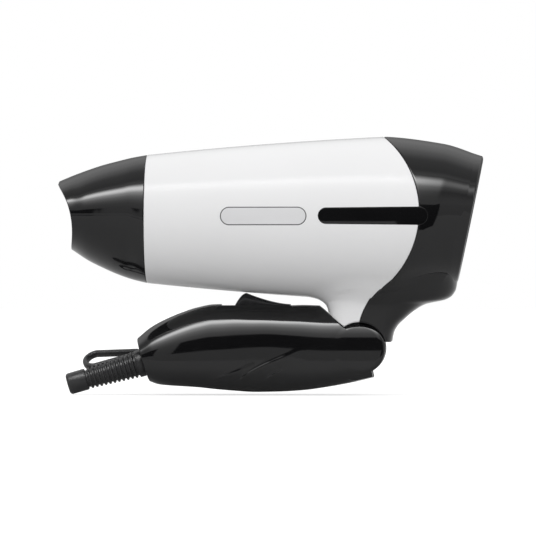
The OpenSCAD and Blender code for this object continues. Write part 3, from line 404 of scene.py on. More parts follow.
def seamX(z):
    s = seam
    top = s["topX"] + np.sqrt(np.maximum(s["topR"] ** 2 - (z - s["topZ"]) ** 2, 0))
    top = np.maximum(top, s["flatX"])
    low = s["lowX"] - np.sqrt(np.maximum(s["lowR"] ** 2 - (z - s["lowZ"]) ** 2, 0))
    k = s["soften"]
    h = np.clip(0.5 + 0.5 * (low - top) / k, 0, 1)
    return np.where(z > s["lowZ"] + s["lowR"], top, low * (1 - h) + top * h - k * h * (1 - h))


def seamOnBarrel(angle, shift):
    x = np.full_like(angle, 60.0)
    for _ in range(80):
        x = 0.6 * x + 0.4 * (seamX(axisZ + barrelRadius(x) * np.sin(angle)) + shift)
    return x


# a ring about the barrel's axis
def around(x, r, angle):
    return np.stack([x + 0 * angle, r * np.cos(angle), axisZ + r * np.sin(angle)], -1)


def fromAxis(p):
    return unit(p * [0, 1, 1] - [0, 0, axisZ])


# radius about the inlet's axis; across is the share of the way round to the side
def domeRadius(d, across=0.0):
    keys = np.array(inlet["dome"], float)
    inner = np.clip(d, 0, keys[-1, 0])
    side = 1 + inlet["sideFull"] * across ** 2 * np.clip(d / inlet["sideFrom"], 0, 1)
    return inlet["faceR"] + cubic(keys[:, 0], keys[:, 1], inner) * side + np.maximum(d - inner, 0)


def onDome(d, phi, radius=None):
    r = domeRadius(d, np.cos(phi)) if radius is None else radius
    spin = np.cos(phi)[..., None] * np.array([0, 1, 0]) + np.sin(phi)[..., None] * inletUp
    return inletAt - np.asarray(d)[..., None] * inletAxis + np.asarray(r)[..., None] * spin


def neckShape(z):
    z = np.clip(z, neckLevels[0, 0], neckLevels[-1, 0])
    return np.moveaxis(cubic(neckLevels[:, 0], neckLevels[:, 1:], z), -1, 0)


def onNeck(z, turn):
    front, rear, half, power = neckShape(z)
    c, s = polar(turn, power)
    return np.stack([(front + rear) / 2 + (rear - front) / 2 * c, half * s, z], -1)


# height of the arch over the handle's knuckle; the white half also clears the grip's slope
def neckFoot(x, white):
    a = arch
    foot = hingeZ + np.sqrt(np.maximum(a["r"] ** 2 - (x - hingeX) ** 2, 0))
    foot = np.where(np.abs(x - hingeX) < a["r"], foot, a["foot"])
    if white:
        (x0, z0), (x1, z1) = a["slopeFoot"], a["slopeTop"]
        foot = np.maximum(foot, z0 + (x - x0) / (x1 - x0) * (z1 - z0))
    return np.maximum(foot, a["foot"])


def softMax(a, b, k):
    h = np.clip(0.5 + 0.5 * (a - b) / k, 0, 1)
    return b + (a - b) * h + k * h * (1 - h)


# distance outside the barrel, whose rear is drawn in by the inlet's dome
def bodyGap(p):
    tube = np.hypot(p[..., 1], p[..., 2] - axisZ) - barrelRadius(p[..., 0])
    d = -((p - inletAt) @ inletAxis)
    off = np.linalg.norm(p - inletAt + d[..., None] * inletAxis, axis=-1)
    dome = off - domeRadius(d, p[..., 1] / np.maximum(off, 1))
    return softMax(tube, blend["lean"] * dome, blend["rear"])  # the dome's side leans


def neckShare(p):
    front, rear, half, power = neckShape(p[..., 2])
    u = np.abs(p[..., 0] - (front + rear) / 2) / ((rear - front) / 2)
    return (u ** power + np.abs(p[..., 1] / half) ** power) ** (1 / power)


# distance outside the neck, to first order
def neckGap(p):
    step = blend["probe"]
    slopes = [(neckShare(p + step * e) - neckShare(p - step * e)) / (2 * step) for e in np.eye(3)]
    return (neckShare(p) - 1) / np.maximum(np.sqrt(sum(v ** 2 for v in slopes)), 0.02)


def shellGap(p):
    return -softMax(-bodyGap(p), -neckGap(p), blend["neck"])


# moves points along a direction until their distance from a surface is the goal
def slide(p, away, gap, goal=0):
    step, stride = blend["probe"], blend["stride"]
    for _ in range(10):
        value = gap(p) - goal
        slope = np.maximum((gap(p + step * away) - goal - value) / step, 0.25)
        p = p - away * np.clip(value / slope, -stride, stride)[..., None]
    return p


# lays points on the surface where barrel and neck flow together; other is the piece they sink into
def settle(p, away, other):
    v = blend
    deep = other(p)
    much = np.clip((deep + v["reach"] + v["taper"]) / v["taper"], 0, 1)
    much = np.where(deep < v["farOff"], much * much * (3 - 2 * much), 0)
    much = much * np.clip((-((p - inletAt) @ inletAxis) - v["inletCalm"]) / v["inletSpan"], 0, 1)
    goal = -v["sink"] * np.clip(-deep / v["reach"], 0, 1)
    moved = ((slide(p, away, shellGap, goal) - p) * away).sum(-1)
    return p + away * (np.clip(moved, -v["most"], v["most"]) * much)[..., None]


def settleBarrel(p):
    away = fromAxis(p)
    p = slide(p, away, bodyGap)
    low = p[..., 2] < axisZ - blend["start"]
    return np.where(low[..., None], settle(p, away, neckGap), p)


def settleNeck(p):
    front, rear, _, _ = neckShape(p[..., 2])
    away = np.stack([(p[..., 0] - (front + rear) / 2) / ((rear - front) / 2), p[..., 1] / 18, 0 * front], -1)
    return settle(p, unit(away), bodyGap)


# one half of the neck's skin, from the arch up to the barrel and round from seam to seam
def neckPatch(white):
    share = np.linspace(-1, 1, 161)
    shift = -barrel["gap"] if white else barrel["gap"]

    def at(z):
        low, high = halve(0 * z, 0 * z + math.pi, lambda turn: onNeck(z, turn)[..., 0] > seamX(z) + shift, 40)
        seamTurn = (low + high) / 2
        turn = math.pi - np.abs(share) * (math.pi - seamTurn) if white else np.abs(share) * seamTurn
        p = onNeck(z, turn)
        p[..., 1] *= np.sign(share)
        return p

    foot = np.full(share.shape, hingeZ + 12.0)
    for _ in range(60):
        foot = 0.5 * foot + 0.5 * neckFoot(at(foot)[..., 0], white)
    return settleNeck(np.array([at(foot + (arch["top"] - foot) * v) for v in np.linspace(0, 1, 110)]))


# the arch's own surface, across the neck
def floorPatch(x0, x1, white):
    xs = np.linspace(x0, x1, 40)
    rows = []
    for x, z in zip(xs, neckFoot(xs, white) + arch["floorRise"]):
        front, rear, half, power = neckShape(np.array(z))
        u = abs((x - (front + rear) / 2) / ((rear - front) / 2))
        w = (half - arch["floorInset"]) * max(1 - min(u, 0.999) ** power, 0.02) ** (1 / power)
        rows.append([[x, y, z] for y in np.linspace(-w, w, 12)])
    return np.array(rows)


# sinks rows below the barrel's surface in a quarter round
def rolledEdge(rows, turns):
    rows = settleBarrel(np.array(rows))
    return list(rows - fromAxis(rows) * barrel["edge"] * (1 - np.cos(turns))[:, None, None])


angles = fullTurn(480)
b = barrel
edge, wall = b["edge"], b["wall"]
floorSeamX = float(seamX(np.array(arch["floorSeamZ"])))
seamAt = seamOnBarrel(angles, -b["gap"])
spigotX = barrelFrontX - b["spigotLength"]
throatX = barrelFrontX + b["throat"]
mouth = [(spigotX, b["spigotR"] - b["spigotWall"]), (spigotX, b["spigotR"] - 0.5),
         (spigotX + 0.15, b["spigotR"] - 0.15), (spigotX + 0.5, b["spigotR"]),
         (barrelFrontX - 0.2, b["spigotR"]), (barrelFrontX, b["spigotR"] + 0.2),
         (barrelFrontX, b["frontR"] - edge)]
mouth += [(barrelFrontX + edge * (1 - math.cos(a)), b["frontR"] - edge * (1 - math.sin(a)))
          for a in quarterTurn(4)[1:]]
rows = [around(x, r, angles) for x, r in mouth]
startX, endX = barrelFrontX + edge, seamAt - edge
along = [startX + (endX - startX) * u for u in np.linspace(0, 1, 90)[1:]]
rows += list(settleBarrel(np.array([around(x, barrelRadius(x), angles) for x in along])))
turnIn = quarterTurn(5)[1:]
rows += rolledEdge([around(endX + edge * math.sin(a), barrelRadius(seamAt), angles) for a in turnIn], turnIn)
rows.append(around(seamAt, barrelRadius(seamAt) - wall, angles))
for u in np.linspace(1, 0, 20):
    x = throatX + (seamAt - throatX) * u
    rows.append(around(x, barrelRadius(x) - wall, angles))
rows.append(around(throatX, b["spigotR"] - b["spigotWall"], angles))
white = Build()
white.ring(rows)
white.skin(neckPatch(True), wall, arch["skinEdge"])
white.skin(floorPatch(arch["floorFront"], floorSeamX - 0.2, True), arch["floorWall"], arch["floorEdge"])
white.make("housingWhite", "shell_white", "barrel", "main_housing")


def withinBarrel(d):
    p = onDome(d, angles)
    return np.hypot(p[:, 1], p[:, 2] - axisZ) <= barrelRadius(p[:, 0])


# where the dome leaves the barrel's rear
meetD = halve(0 * angles, 0 * angles + inlet["dome"][-1][0], withinBarrel, 50)[0]
meet = onDome(meetD, angles)
theta = np.arctan2(meet[:, 2] - axisZ, meet[:, 1])
seamAt = seamOnBarrel(theta, b["gap"])
crease = np.minimum(inlet["creaseMiddle"] + inlet["creaseSwing"] * np.sin(angles), meetD - 2)
rows = [around(seamAt, barrelRadius(seamAt) - inset, theta) for inset in (wall, edge)]
turnOut = quarterTurn(5)[-2::-1]
along = [seamAt + edge * (1 - math.sin(a)) for a in turnOut]
rows += rolledEdge([around(x, barrelRadius(x), theta) for x in along], turnOut)
startX = seamAt + edge
along = [startX + (meet[:, 0] - startX) * u for u in np.linspace(0, 1, 40)[1:]]
outside = [around(x, barrelRadius(x), theta) for x in along]
outside += [onDome(meetD + (crease - meetD) * u, angles) for u in np.linspace(0, 1, 16)[1:]]
outside = np.array(outside)
# past the barrel's own rows the neck's blend fades out within a few rows
keep = np.clip(np.arange(len(outside)) - len(along) + 1, 0, blend["rows"])[:, None, None] / blend["rows"]
seated = slide(outside, fromAxis(outside), bodyGap)
outside = settleBarrel(outside)
rows += list(outside + (seated - outside) * keep)
lipD, faceR, holeR, recess = inlet["lip"], inlet["faceR"], inlet["holeR"], inlet["recess"]
lipR = domeRadius(lipD)
last, lip = rows[-1], onDome(lipD, angles, lipR)
rows += [last + (lip - last) * u for u in np.linspace(0, 1, 12)[1:]]
rows += [onDome(0.1 + (lipD - 0.1) * (1 - math.sin(a)), angles, faceR + (lipR - faceR) * math.cos(a))
         for a in quarterTurn(5)[1:]]
rows += [onDome(d, angles, holeR + r) for d, r in (
    (0.1, 0.3), (0.15, 0.05), (0.4, 0), (recess, 0), (recess, -2), (recess + inlet["ledge"], -2))]
for u in np.linspace(0, 1, 8)[1:]:
    d = (meetD - 3) * u + (recess + inlet["ledge"]) * (1 - u)
    rows.append(onDome(d, angles, np.minimum(domeRadius(d) - wall, holeR - 2 + 14 * u)))
black = Build()
black.ring(rows)
black.skin(neckPatch(False), wall, arch["skinEdge"], turned=-1)
black.skin(floorPatch(floorSeamX + 0.2, arch["floorRear"], False), arch["floorWall"], arch["floorEdge"])
black.make("housingBlack", "shell_black", "barrel", "rear_housing")
print("housings")


# oblongs on the barrel's side: ends in X, radius at each end, height of the middle, how far they stand out
inlays = dict(trimX=(barrel["wideX"] - 32, barrel["wideX"] + 21), trimR=(4.1, 4.55), trimZ=axisZ + 1.3,
              trimRise=0.04, trimEdge=0.25, badgeX=(barrel["wideX"] - 79, barrel["wideX"] - 37.3),
              badgeR=4.45, badgeZ=axisZ + 1.2, badgeRise=0.02, badgeEdge=0.05, line=0.5, sunk=-0.6)


# rows of an oblong; each step is a share of the way out from its middle line, and a height
def inlayRows(x, r, z, side, steps):
    ends = x[0] + r[0], x[1] - r[1]
    turn = fullTurn(180)
    right = np.cos(turn) > -(r[1] - r[0]) / (ends[1] - ends[0])
    radius = np.where(right, r[1], r[0])
    corners = np.stack([np.where(right, ends[1], ends[0]) + radius * np.cos(turn),
                        z + radius * np.sin(turn)], -1)
    outline = []
    for p, q in zip(corners, np.roll(corners, -1, 0)):
        parts = max(1, int(np.linalg.norm(q - p) / 0.9))
        outline += [p + (q - p) * i / parts for i in range(parts)]
    outline = np.array(outline)
    middle = np.stack([np.clip(outline[:, 0], *ends), np.full(len(outline), z)], -1)
    rows = []
    for share, rise in steps:
        q = middle + (outline - middle) * share
        up = q[:, 1] - axisZ
        out = side * np.sqrt(barrelRadius(q[:, 0]) ** 2 - up ** 2)
        rows.append(np.stack([q[:, 0], out, q[:, 1]], -1) + unit(np.stack([0 * up, out, up], -1)) * rise)
    return np.array(rows)


# closed oblong with a rounded rim, from the middle below round to the middle above
def inlayBody(x, r, z, side, rise, edge):
    steps = [(share, inlays["sunk"]) for share in np.linspace(0, 1, 5)]
    steps += [(1 - edge / r[0] * (1 - math.cos(a)), rise - edge * (1 - math.sin(a))) for a in quarterTurn(5)]
    steps += [(share, rise) for share in np.linspace(steps[-1][0], 0, 8)[1:]]
    return inlayRows(x, r, z, side, steps)


v = inlays
badgeX, badgeR, plateR = v["badgeX"], v["badgeR"], v["badgeR"] - v["line"]
for side, name in ((-1, "left"), (1, "right")):
    trim, badge, line = Build(), Build(), Build()
    trim.tube(inlayBody(v["trimX"], v["trimR"], v["trimZ"], side, v["trimRise"], v["trimEdge"]), caps=False)
    trim.make("trimInlay_" + name, "shell_black", "barrel", "trim_" + name)
    badge.tube(inlayBody((badgeX[0] + v["line"], badgeX[1] - v["line"]), (plateR, plateR), v["badgeZ"], side,
                         v["badgeRise"], v["badgeEdge"]), caps=False)
    badge.make("badgePlate_" + name, "badge_plate", "barrel", "badge_" + name)
    steps = [(share, v["badgeRise"] + 0.02) for share in np.linspace(1 - v["line"] / badgeR, 1, 4)]
    line.skin(inlayRows(badgeX, (badgeR, badgeR), v["badgeZ"], side, steps), 0.4, 0.06, True, turned=-side)
    line.make("badgeLine_" + name, "outline_grey", "barrel", slot="knob_black")
print("inlays")


# steps: share of the reach, fall of the top, rise of the underside, half width
spout = dict(length=37.4, reach=42.4, wall=1.8, hollowR=33, hollowBack=2.3, hollowZ=axisZ - 4.2,
             parting=axisZ + 2.0, lowPower=1.78, easeBy=0.22, groove=0.1, grooveHalf=0.28,
             steps=[[0, 0, 0, 31.1], [0.17, 1.3, 1.8, 30.8], [0.345, 3.1, 4.4, 30.2],
                    [0.505, 4.9, 7.4, 29.6], [0.67, 7.2, 10.9, 28.9], [0.835, 9.8, 15.5, 27.4],
                    [1, 12.7, 20.1, 27]])


def onNozzle(x, angle):
    v = spout
    keys = np.array(v["steps"])
    s = (nozzleRimX - x) / v["reach"]
    drop, rise, half = np.moveaxis(cubic(keys[:, 0], keys[:, 1:], s), -1, 0)
    top, under = axisZ + barrel["frontR"] - drop, axisZ - barrel["frontR"] + rise
    ease = np.clip(s / v["easeBy"], 0, 1)
    ease = ease * ease * (3 - 2 * ease)
    middle = axisZ + (v["parting"] - axisZ) * ease
    power = np.where(np.sin(angle) < 0, 2 + (v["lowPower"] - 2) * (0.35 + 0.65 * ease), 2)
    across, up = polar(angle, power)
    z = middle + np.where(up > 0, top - middle, middle - under) * up
    y = half * across
    y = y - np.sign(y) * v["groove"] * np.exp(-((z - middle) / v["grooveHalf"]) ** 2) * np.clip(s * 40, 0, 1)
    return np.stack([x + 0 * y, y, z], -1)


# closer together at the parting line's groove
quarter = np.concatenate([np.linspace(0, 0.06, 14)[:-1], np.linspace(0.06, math.pi / 2, 60)])
turns = np.concatenate([quarter, math.pi - quarter[-2::-1], math.pi + quarter[1:],
                        2 * math.pi - quarter[-2:0:-1]])
mouthX = barrelFrontX - spout["length"]
mouthAt = np.full_like(turns, mouthX)
for _ in range(80):
    up = onNozzle(mouthAt, turns)[:, 2] - spout["hollowZ"]
    goal = (mouthX - spout["hollowR"] + spout["hollowBack"]
            + np.sqrt(np.maximum(spout["hollowR"] ** 2 - up ** 2, 0)))
    mouthAt = 0.6 * mouthAt + 0.4 * np.maximum(goal, barrelFrontX - spout["reach"] - 0.2)
nozzle = Build()
along = [nozzleRimX + (mouthAt - nozzleRimX) * u for u in np.linspace(0, 1, 80)]
nozzle.skin(np.array([onNozzle(x, turns) for x in along]), spout["wall"], 0.3, True)
nozzle.make("nozzleSpout", "shell_black", "nozzle", "nozzle")
print("nozzle")


grip = dict(wideZ=16.0, topZ=43.3, underZ=4.0, round=2.25, fuller=0.3, fullX=-2.0, fullSpan=16.0, wall=2.2,
            endWall=3.8, split=0.05, endRound=0.3, slotHalf=9.0, knuckleR=11.9, stemX=9.4,
            heelIn=(6.1, -10.8), heel=(6.8, -14.1), slopeTop=(-19.4, 20.6), slopeFoot=(-7.3, 10.3),
            pinR=5.05, pinHalf=15.1, holeR=5.7, screwR=2.8, screws=((-92, 24), (-62, 9.5), (-22, 15)),
            cheekR=12.6, cheekHalf=17.4, cheekPower=3.8, rimRound=2.4, rimDrop=0.9, blend=0.35,
            blendShare=0.3, cheekMargin=3, cheekFrom=9, cheekOver=3, stepFrom=7, stepOver=6,
            stepShare=0.6, stepCut=0.3, stepCutTo=0.4, stepSharp=0.7, stepFade=24)
hx, hz = hingeX, hingeZ
hinge = np.array([hx, hz])
# under point and top point in X from the hinge and Z, half width, squareness below
stations = np.array([
    [-101.7, 6.4, -108.1, 27.3, 16, 3.1], [-97.2, 5, -101.4, 32.8, 17.3, 3.4],
    [-91, 4.4, -94.7, 36.5, 17.8, 3.6], [-84, 4, -86.4, 40, 18, 3.6], [-77, 3.5, -78.5, 42.5, 18, 3.6],
    [-70.5, 2.8, -71, 43.9, 18, 3.6], [-61, 2, -62, 44.1, 18, 3.6], [-50.5, 1.4, -50.5, 43.5, 18, 3.6],
    [-38.8, 1.6, -38.8, 43.3, 18, 3.6], [-27.2, 2.3, -27.6, 43.6, 18, 3.7],
    [-15.5, 3.9, -15.5, 43.3, 17.9, 3.8], [-3.9, 6, -3.9, 43.3, 17.3, 3.8],
    [8, 8.8, 8, 43.3, 17, 3.8]]) + [hx, 0, hx, 0, 0, 0]
way = measured((stations[:, 0:2] + stations[:, 2:4]) / 2)
# feathered steps in the grip's side: points in X and Z, height and the width of the slope below the edge
swooshes = [
    dict(line=[(-36.5, 3.0), (-34.1, 4.8), (-25.2, 8.5), (-17.1, 11.3), (-7.4, 15.4)], height=0.6, fall=4.5),
    dict(line=[(-20.0, 3.0), (-17.1, 4.8), (-12.3, 9.3), (-5.0, 13.7), (7.1, 19.0), (16.8, 23.0)],
         height=0.85, fall=5.0),
    dict(line=[(-13.0, 3.0), (-10.7, 4.5), (-5.0, 5.7), (-0.2, 8.9), (7.9, 12.9)], height=0.6, fall=4.0)]
knobBox = [inMm(v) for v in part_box("switch_knob")]
track = dict(floor=42.9, front=knobBox[0][0] - 6.8, rear=knobBox[1][0] + 0.4, half=6.9)
reliefStart = np.array([hx - 104.6, 0, 15.8])


# section of the grip: squarer below its widest line, rounder above
def gripRing(station, turn, inset=0.0):
    under, top = station[0:2], station[2:4]
    low = (grip["wideZ"] - under[1]) / (top[1] - under[1])
    middle = under + (top - under) * low
    reach = np.linalg.norm(top - under)
    up = (top - under) / reach
    below = np.sin(turn) < 0
    power = grip["round"] + grip["fuller"] * math.exp(-((middle[0] - grip["fullX"]) / grip["fullSpan"]) ** 2)
    c, s = polar(turn, np.where(below, station[5], power))
    h = (reach * np.where(below, low, 1 - low) - inset) * s
    return np.stack([middle[0] + up[0] * h, (station[4] - inset) * c, middle[1] + up[1] * h], -1)


# how far the hinge's cheek stands out, with its rounded rim
def cheekHeight(x, z):
    g = grip
    below = z < g["wideZ"]
    reach = np.where(below, g["wideZ"] - g["underZ"], g["topZ"] - g["wideZ"])
    power = np.where(below, g["cheekPower"], g["round"])
    share = np.clip(np.abs(z - g["wideZ"]) / reach, 0, 0.999)
    over = np.clip((np.hypot(x - hx, z - hz) - g["cheekR"] + g["rimRound"]) / g["rimRound"], 0, 1)
    return (g["cheekHalf"] * (1 - share ** power) ** (1 / power)
            - g["rimDrop"] * (1 - np.sqrt(1 - over ** 2 * 0.999)))


# height of the feathered steps: a sharp edge that falls away slowly below it
def swoosh(x, z):
    total, count = np.zeros(x.shape), 80
    for s in swooshes:
        points = np.array(s["line"], float)
        k = measured(points)
        curve = cubic(k, points, np.linspace(0, k[-1], count))
        tangent = unit(np.gradient(curve, axis=0))
        i = ((x[..., None] - curve[:, 0]) ** 2 + (z[..., None] - curve[:, 1]) ** 2).argmin(-1)
        dx, dz = x - curve[i, 0], z - curve[i, 1]
        off = dx * tangent[i, 1] - dz * tangent[i, 0]
        beyond = dx * tangent[i, 0] + dz * tangent[i, 1]
        fade = np.clip((count - 1 - i) / grip["stepFade"], 0, 1) * np.exp(-beyond ** 2)
        total += s["height"] * np.exp(-(off / np.where(off > 0, s["fall"], grip["stepSharp"])) ** 2) * fade
    return total


def gripForm():
    turn = fullTurn(340) + 0.001
    g, e = grip, grip["endRound"]
    stops = [(e * (1 - math.cos(a)), e * (1 - math.sin(a))) for a in quarterTurn(5)]
    stops += [(t, 0) for t in np.linspace(e, way[-1], 330)[1:]]
    p = np.array([gripRing(cubic(way, stations, t), turn, inset) for t, inset in stops])
    x, y, z = np.moveaxis(p, -1, 0)
    half = np.abs(y)
    disc = np.where(np.hypot(x - hx, z - hz) < g["cheekR"] + g["cheekMargin"], cheekHeight(x, z), 0)
    fillet = g["blend"] * np.exp(-np.abs(half - disc) / g["blend"]) * g["blendShare"] * (disc > 0)
    near = np.clip((half - g["cheekFrom"]) / g["cheekOver"], 0, 1)
    raised = half + (np.maximum(half, disc) + fillet - half) * near
    step = swoosh(x, z) * np.clip((half - g["stepFrom"]) / g["stepOver"], 0, 1)
    # the faint foot of a step is cut in a little, so that its edge reads
    cut = g["stepCut"] * np.clip(step, 0, g["stepCutTo"])
    p[..., 1] = np.sign(y) * (raised + step * g["stepShare"] - cut)
    form = Build()
    form.tube(p)
    return cutter(form)


# a closed plate across Y from a polygon in X and Z
def plate(points, y0, y1):
    n = len(points)
    form = Build()
    form.add([[x, y, z] for y in (y0, y1) for x, z in points],
             [list(range(n))[::-1], list(range(n, 2 * n))]
             + [[i, (i + 1) % n, n + (i + 1) % n, n + i] for i in range(n)])
    return cutter(form)


def rod(radius, at, along, start, end, count=96):
    form = Build()
    form.tube(revolve([(start, radius), (end, radius)], count, at, along))
    return cutter(form)


# the hinge's round cheeks, whose outer faces carry on the grip's side
def cheekForm():
    spin = fullTurn(180)
    radii = grip["cheekR"] * np.sin(quarterTurn(40))[1:]
    rows = []
    for side, reach in [(1, r) for r in radii] + [(-1, r) for r in radii[::-1]]:
        x, z = hx + reach * np.cos(spin), hz + reach * np.sin(spin)
        rows.append(np.stack([x, side * cheekHeight(x, z), z], -1))
    form = Build()
    form.tube(rows)
    return cutter(form)


# the flat pad that carries the knob's track
def knobPad():
    x0, x1 = track["front"] - 0.6, knobBox[1][0] + 0.5
    foot, top, half = track["floor"] - 4, track["floor"] + 0.5, track["half"] + 0.7
    levels = ((foot, 4.5, 3.0, 3.0), (top - 0.35, 0.45, 0.3, 0.3), (top, 0, 0, 0))
    form = Build()
    form.tube([[[x0 - front, -half - flare, z], [x1 + rear, -half - flare, z],
                [x1 + rear, half + flare, z], [x0 - front, half + flare, z]]
               for z, front, rear, flare in levels])
    return cutter(form)


g = grip
slot = g["slotHalf"]
heelEnd = hinge + g["heelIn"] + 4 * (np.array(g["heel"]) - g["heelIn"])
heelTurn = math.atan2(g["heel"][1], g["heel"][0])
pushed = stations.copy()
pushed[0, [0, 2]] += g["endWall"]
hollow = Build()
hollow.tube([gripRing(v, fullTurn(120), g["wall"]) for v in pushed[0:10]])
whole = gripForm()
carve(whole, plate([hinge + g["slopeTop"], hinge + g["slopeFoot"], hinge + (1, 1.4), hinge + g["heelIn"],
                    heelEnd, (hx + 40, 0), (hx + 40, 60), (hx + g["slopeTop"][0] - 10, 60)], -60, 60))
carve(whole, cheekForm(), "UNION")
carve(whole, knobPad(), "UNION")
carve(whole, cutter(hollow))
carve(whole, plate([(hx + g["knuckleR"] * math.cos(a), hz + g["knuckleR"] * math.sin(a))
                    for a in fullTurn(120)], -slot, slot))
carve(whole, plate([hinge, (hx - g["stemX"], hz), (hx - g["stemX"], hz + 40), (hx + 40, hz + 40),
                    (hx + 40, hz - 20), hinge + 30 * np.array([math.cos(heelTurn), math.sin(heelTurn)])],
                   -slot, slot))
carve(whole, rod(g["pinR"], (hx, 0, hz), (0, 1, 0), -g["pinHalf"], g["pinHalf"]))
carve(whole, plate([(track["front"], track["floor"]), (track["rear"], track["floor"]), (track["rear"], 60),
                    (track["front"], 60)], -track["half"], track["half"]))
carve(whole, rod(g["holeR"], reliefStart, reliefOut, -20, 20))
for side, name in ((-1, "left"), (1, "right")):
    shell = shown("gripShell_" + name, whole.data.copy())
    near, far = sorted((side * g["split"], side * 40))
    carve(shell, plate([(-100, -20), (100, -20), (100, 80), (-100, 80)], near, far), "INTERSECT")
    if side > 0:
        for x, z in g["screws"]:
            carve(shell, rod(g["screwR"], (hx + x, 0, z), (0, 1, 0), 13.4, 30, 64))
    mend(shell.data, sliver=2e-7)
    dress(shell, "shell_black", "handle", "handle_shell_" + name, 26)
bpy.data.objects.remove(whole)
print("handle")


knob = dict(length=26.6, half=6.5, height=6.2, peak=5.3, foot=track["floor"] + 0.3, power=5.0, lean=0.16,
            noseIn=0.9, noseBy=2.2, frontFoot=0.6, frontPower=1.8, rearFoot=0.8, rearPower=1.6)
v = knob
c, s = polar(np.linspace(0, math.pi, 61), v["power"])
rows = []
for t in np.concatenate([np.linspace(0, 1, 24), np.linspace(1, 2, 60)[1:]]):
    if t <= 1:
        x = v["peak"] * t
        h = v["frontFoot"] + (v["height"] - v["frontFoot"]) * (1 - (1 - t) ** v["frontPower"])
    else:
        x = v["peak"] + (v["length"] - v["peak"]) * (t - 1)
        h = v["rearFoot"] + (v["height"] - v["rearFoot"]) * (2 - t) ** v["rearPower"]
    w = v["half"] - v["noseIn"] * max(0, 1 - t * v["noseBy"]) ** 2
    lean = 1 - v["lean"] * np.clip(s, 0, 1) * h / v["height"]
    x += knobBox[0][0]
    arc = np.stack([np.full(61, x), w * c * lean, v["foot"] + h * s], -1)
    rows.append(np.concatenate([arc, [[x, 0, v["foot"]]]]))
stemX = knobBox[1][0] - 12
cap = Build()
cap.tube(rows)
cap.tube([[[stemX + a * 2.5, b * 2, z] for a, b in ((-1, -1), (1, -1), (1, 1), (-1, 1))]
          for z in (knobBox[0][2] + 0.02, v["foot"] + 0.3)])
cap.make("knobCap", "knob_black", "slider", "switch_knob", 38)
print("knob")


# a geometry tree with these inputs, and the outputs of its input node
def newTree(name, inputs):
    tree = bpy.data.node_groups.new(name, "GeometryNodeTree")
    tree.is_modifier = True
    tree.interface.new_socket("Geometry", in_out="OUTPUT", socket_type="NodeSocketGeometry")
    for label, kind, value in (*inputs, ("Material", "Material", None)):
        socket = tree.interface.new_socket(label, in_out="INPUT", socket_type="NodeSocket" + kind)
        if value is not None:
            socket.default_value = value
    return tree, tree.nodes.new("NodeGroupInput").outputs


# copies a form onto points, makes the copies real and gives them their material
def endTree(tree, given, sockets):
    placed = addNode(tree, "GeometryNodeInstanceOnPoints", sockets)
    real = addNode(tree, "GeometryNodeRealizeInstances", {"Geometry": placed})
    finish = addNode(tree, "GeometryNodeSetMaterial", {"Geometry": real, "Material": given["Material"]})
    addNode(tree, "NodeGroupOutput", {"Geometry": finish})
    return tree


# ribs along a line: rounded rings whose radius runs from one value to another
def ribTree():
    tree, given = newTree("ribStack", (
        ("Count", "Int", 11), ("Pitch", "Float", 0.0022), ("First radius", "Float", 0.0066),
        ("Last radius", "Float", 0.0053), ("Rib height", "Float", 0.0011), ("Rib width", "Float", 0.0014)))
    line = addNode(tree, "GeometryNodeMeshLine", {
        "Count": given["Count"], "Offset": vector(tree, z=given["Pitch"])})
    circle = addNode(tree, "GeometryNodeCurvePrimitiveCircle", {
        "Resolution": 96, "Radius": given["First radius"]})
    section = addNode(tree, "GeometryNodeCurvePrimitiveCircle", {"Resolution": 16, "Radius": 1})
    halfWidth = calc(tree, "MULTIPLY", given["Rib width"], 0.5)
    shaped = addNode(tree, "GeometryNodeTransform", {
        "Geometry": section, "Scale": vector(tree, given["Rib height"], halfWidth, 1)})
    swept = addNode(tree, "GeometryNodeCurveToMesh", {"Curve": circle, "Profile Curve": shaped})
    share = calc(tree, "DIVIDE", addNode(tree, "GeometryNodeInputIndex"), given["Count"])
    ratio = calc(tree, "DIVIDE", given["Last radius"], given["First radius"])
    size = addNode(tree, "ShaderNodeMix", {0: share, 2: 1, 3: ratio}, data_type="FLOAT")
    return endTree(tree, given, {"Points": line, "Instance": swept, "Scale": vector(tree, size, size, 1)})


# bars turned about Z in even steps
def spokeTree():
    tree, given = newTree("spokeRing", (
        ("Count", "Int", 8), ("Inner radius", "Float", 0.002), ("Outer radius", "Float", 0.027),
        ("Width", "Float", 0.0016), ("Depth", "Float", 0.0024)))
    inner, outer = given["Inner radius"], given["Outer radius"]
    length = calc(tree, "SUBTRACT", outer, inner)
    middle = calc(tree, "MULTIPLY", calc(tree, "ADD", outer, inner), 0.5)
    size = vector(tree, length, given["Width"], given["Depth"])
    bar = addNode(tree, "GeometryNodeMeshCube", {"Size": size})
    moved = addNode(tree, "GeometryNodeTransform", {"Geometry": bar, "Translation": vector(tree, middle)})
    points = addNode(tree, "GeometryNodeMeshLine", {"Count": given["Count"], "Offset": (0, 0, 0)})
    step = calc(tree, "DIVIDE", 2 * math.pi, given["Count"])
    turn = calc(tree, "MULTIPLY", addNode(tree, "GeometryNodeInputIndex"), step)
    return endTree(tree, given, {"Points": points, "Instance": moved, "Rotation": vector(tree, z=turn)})


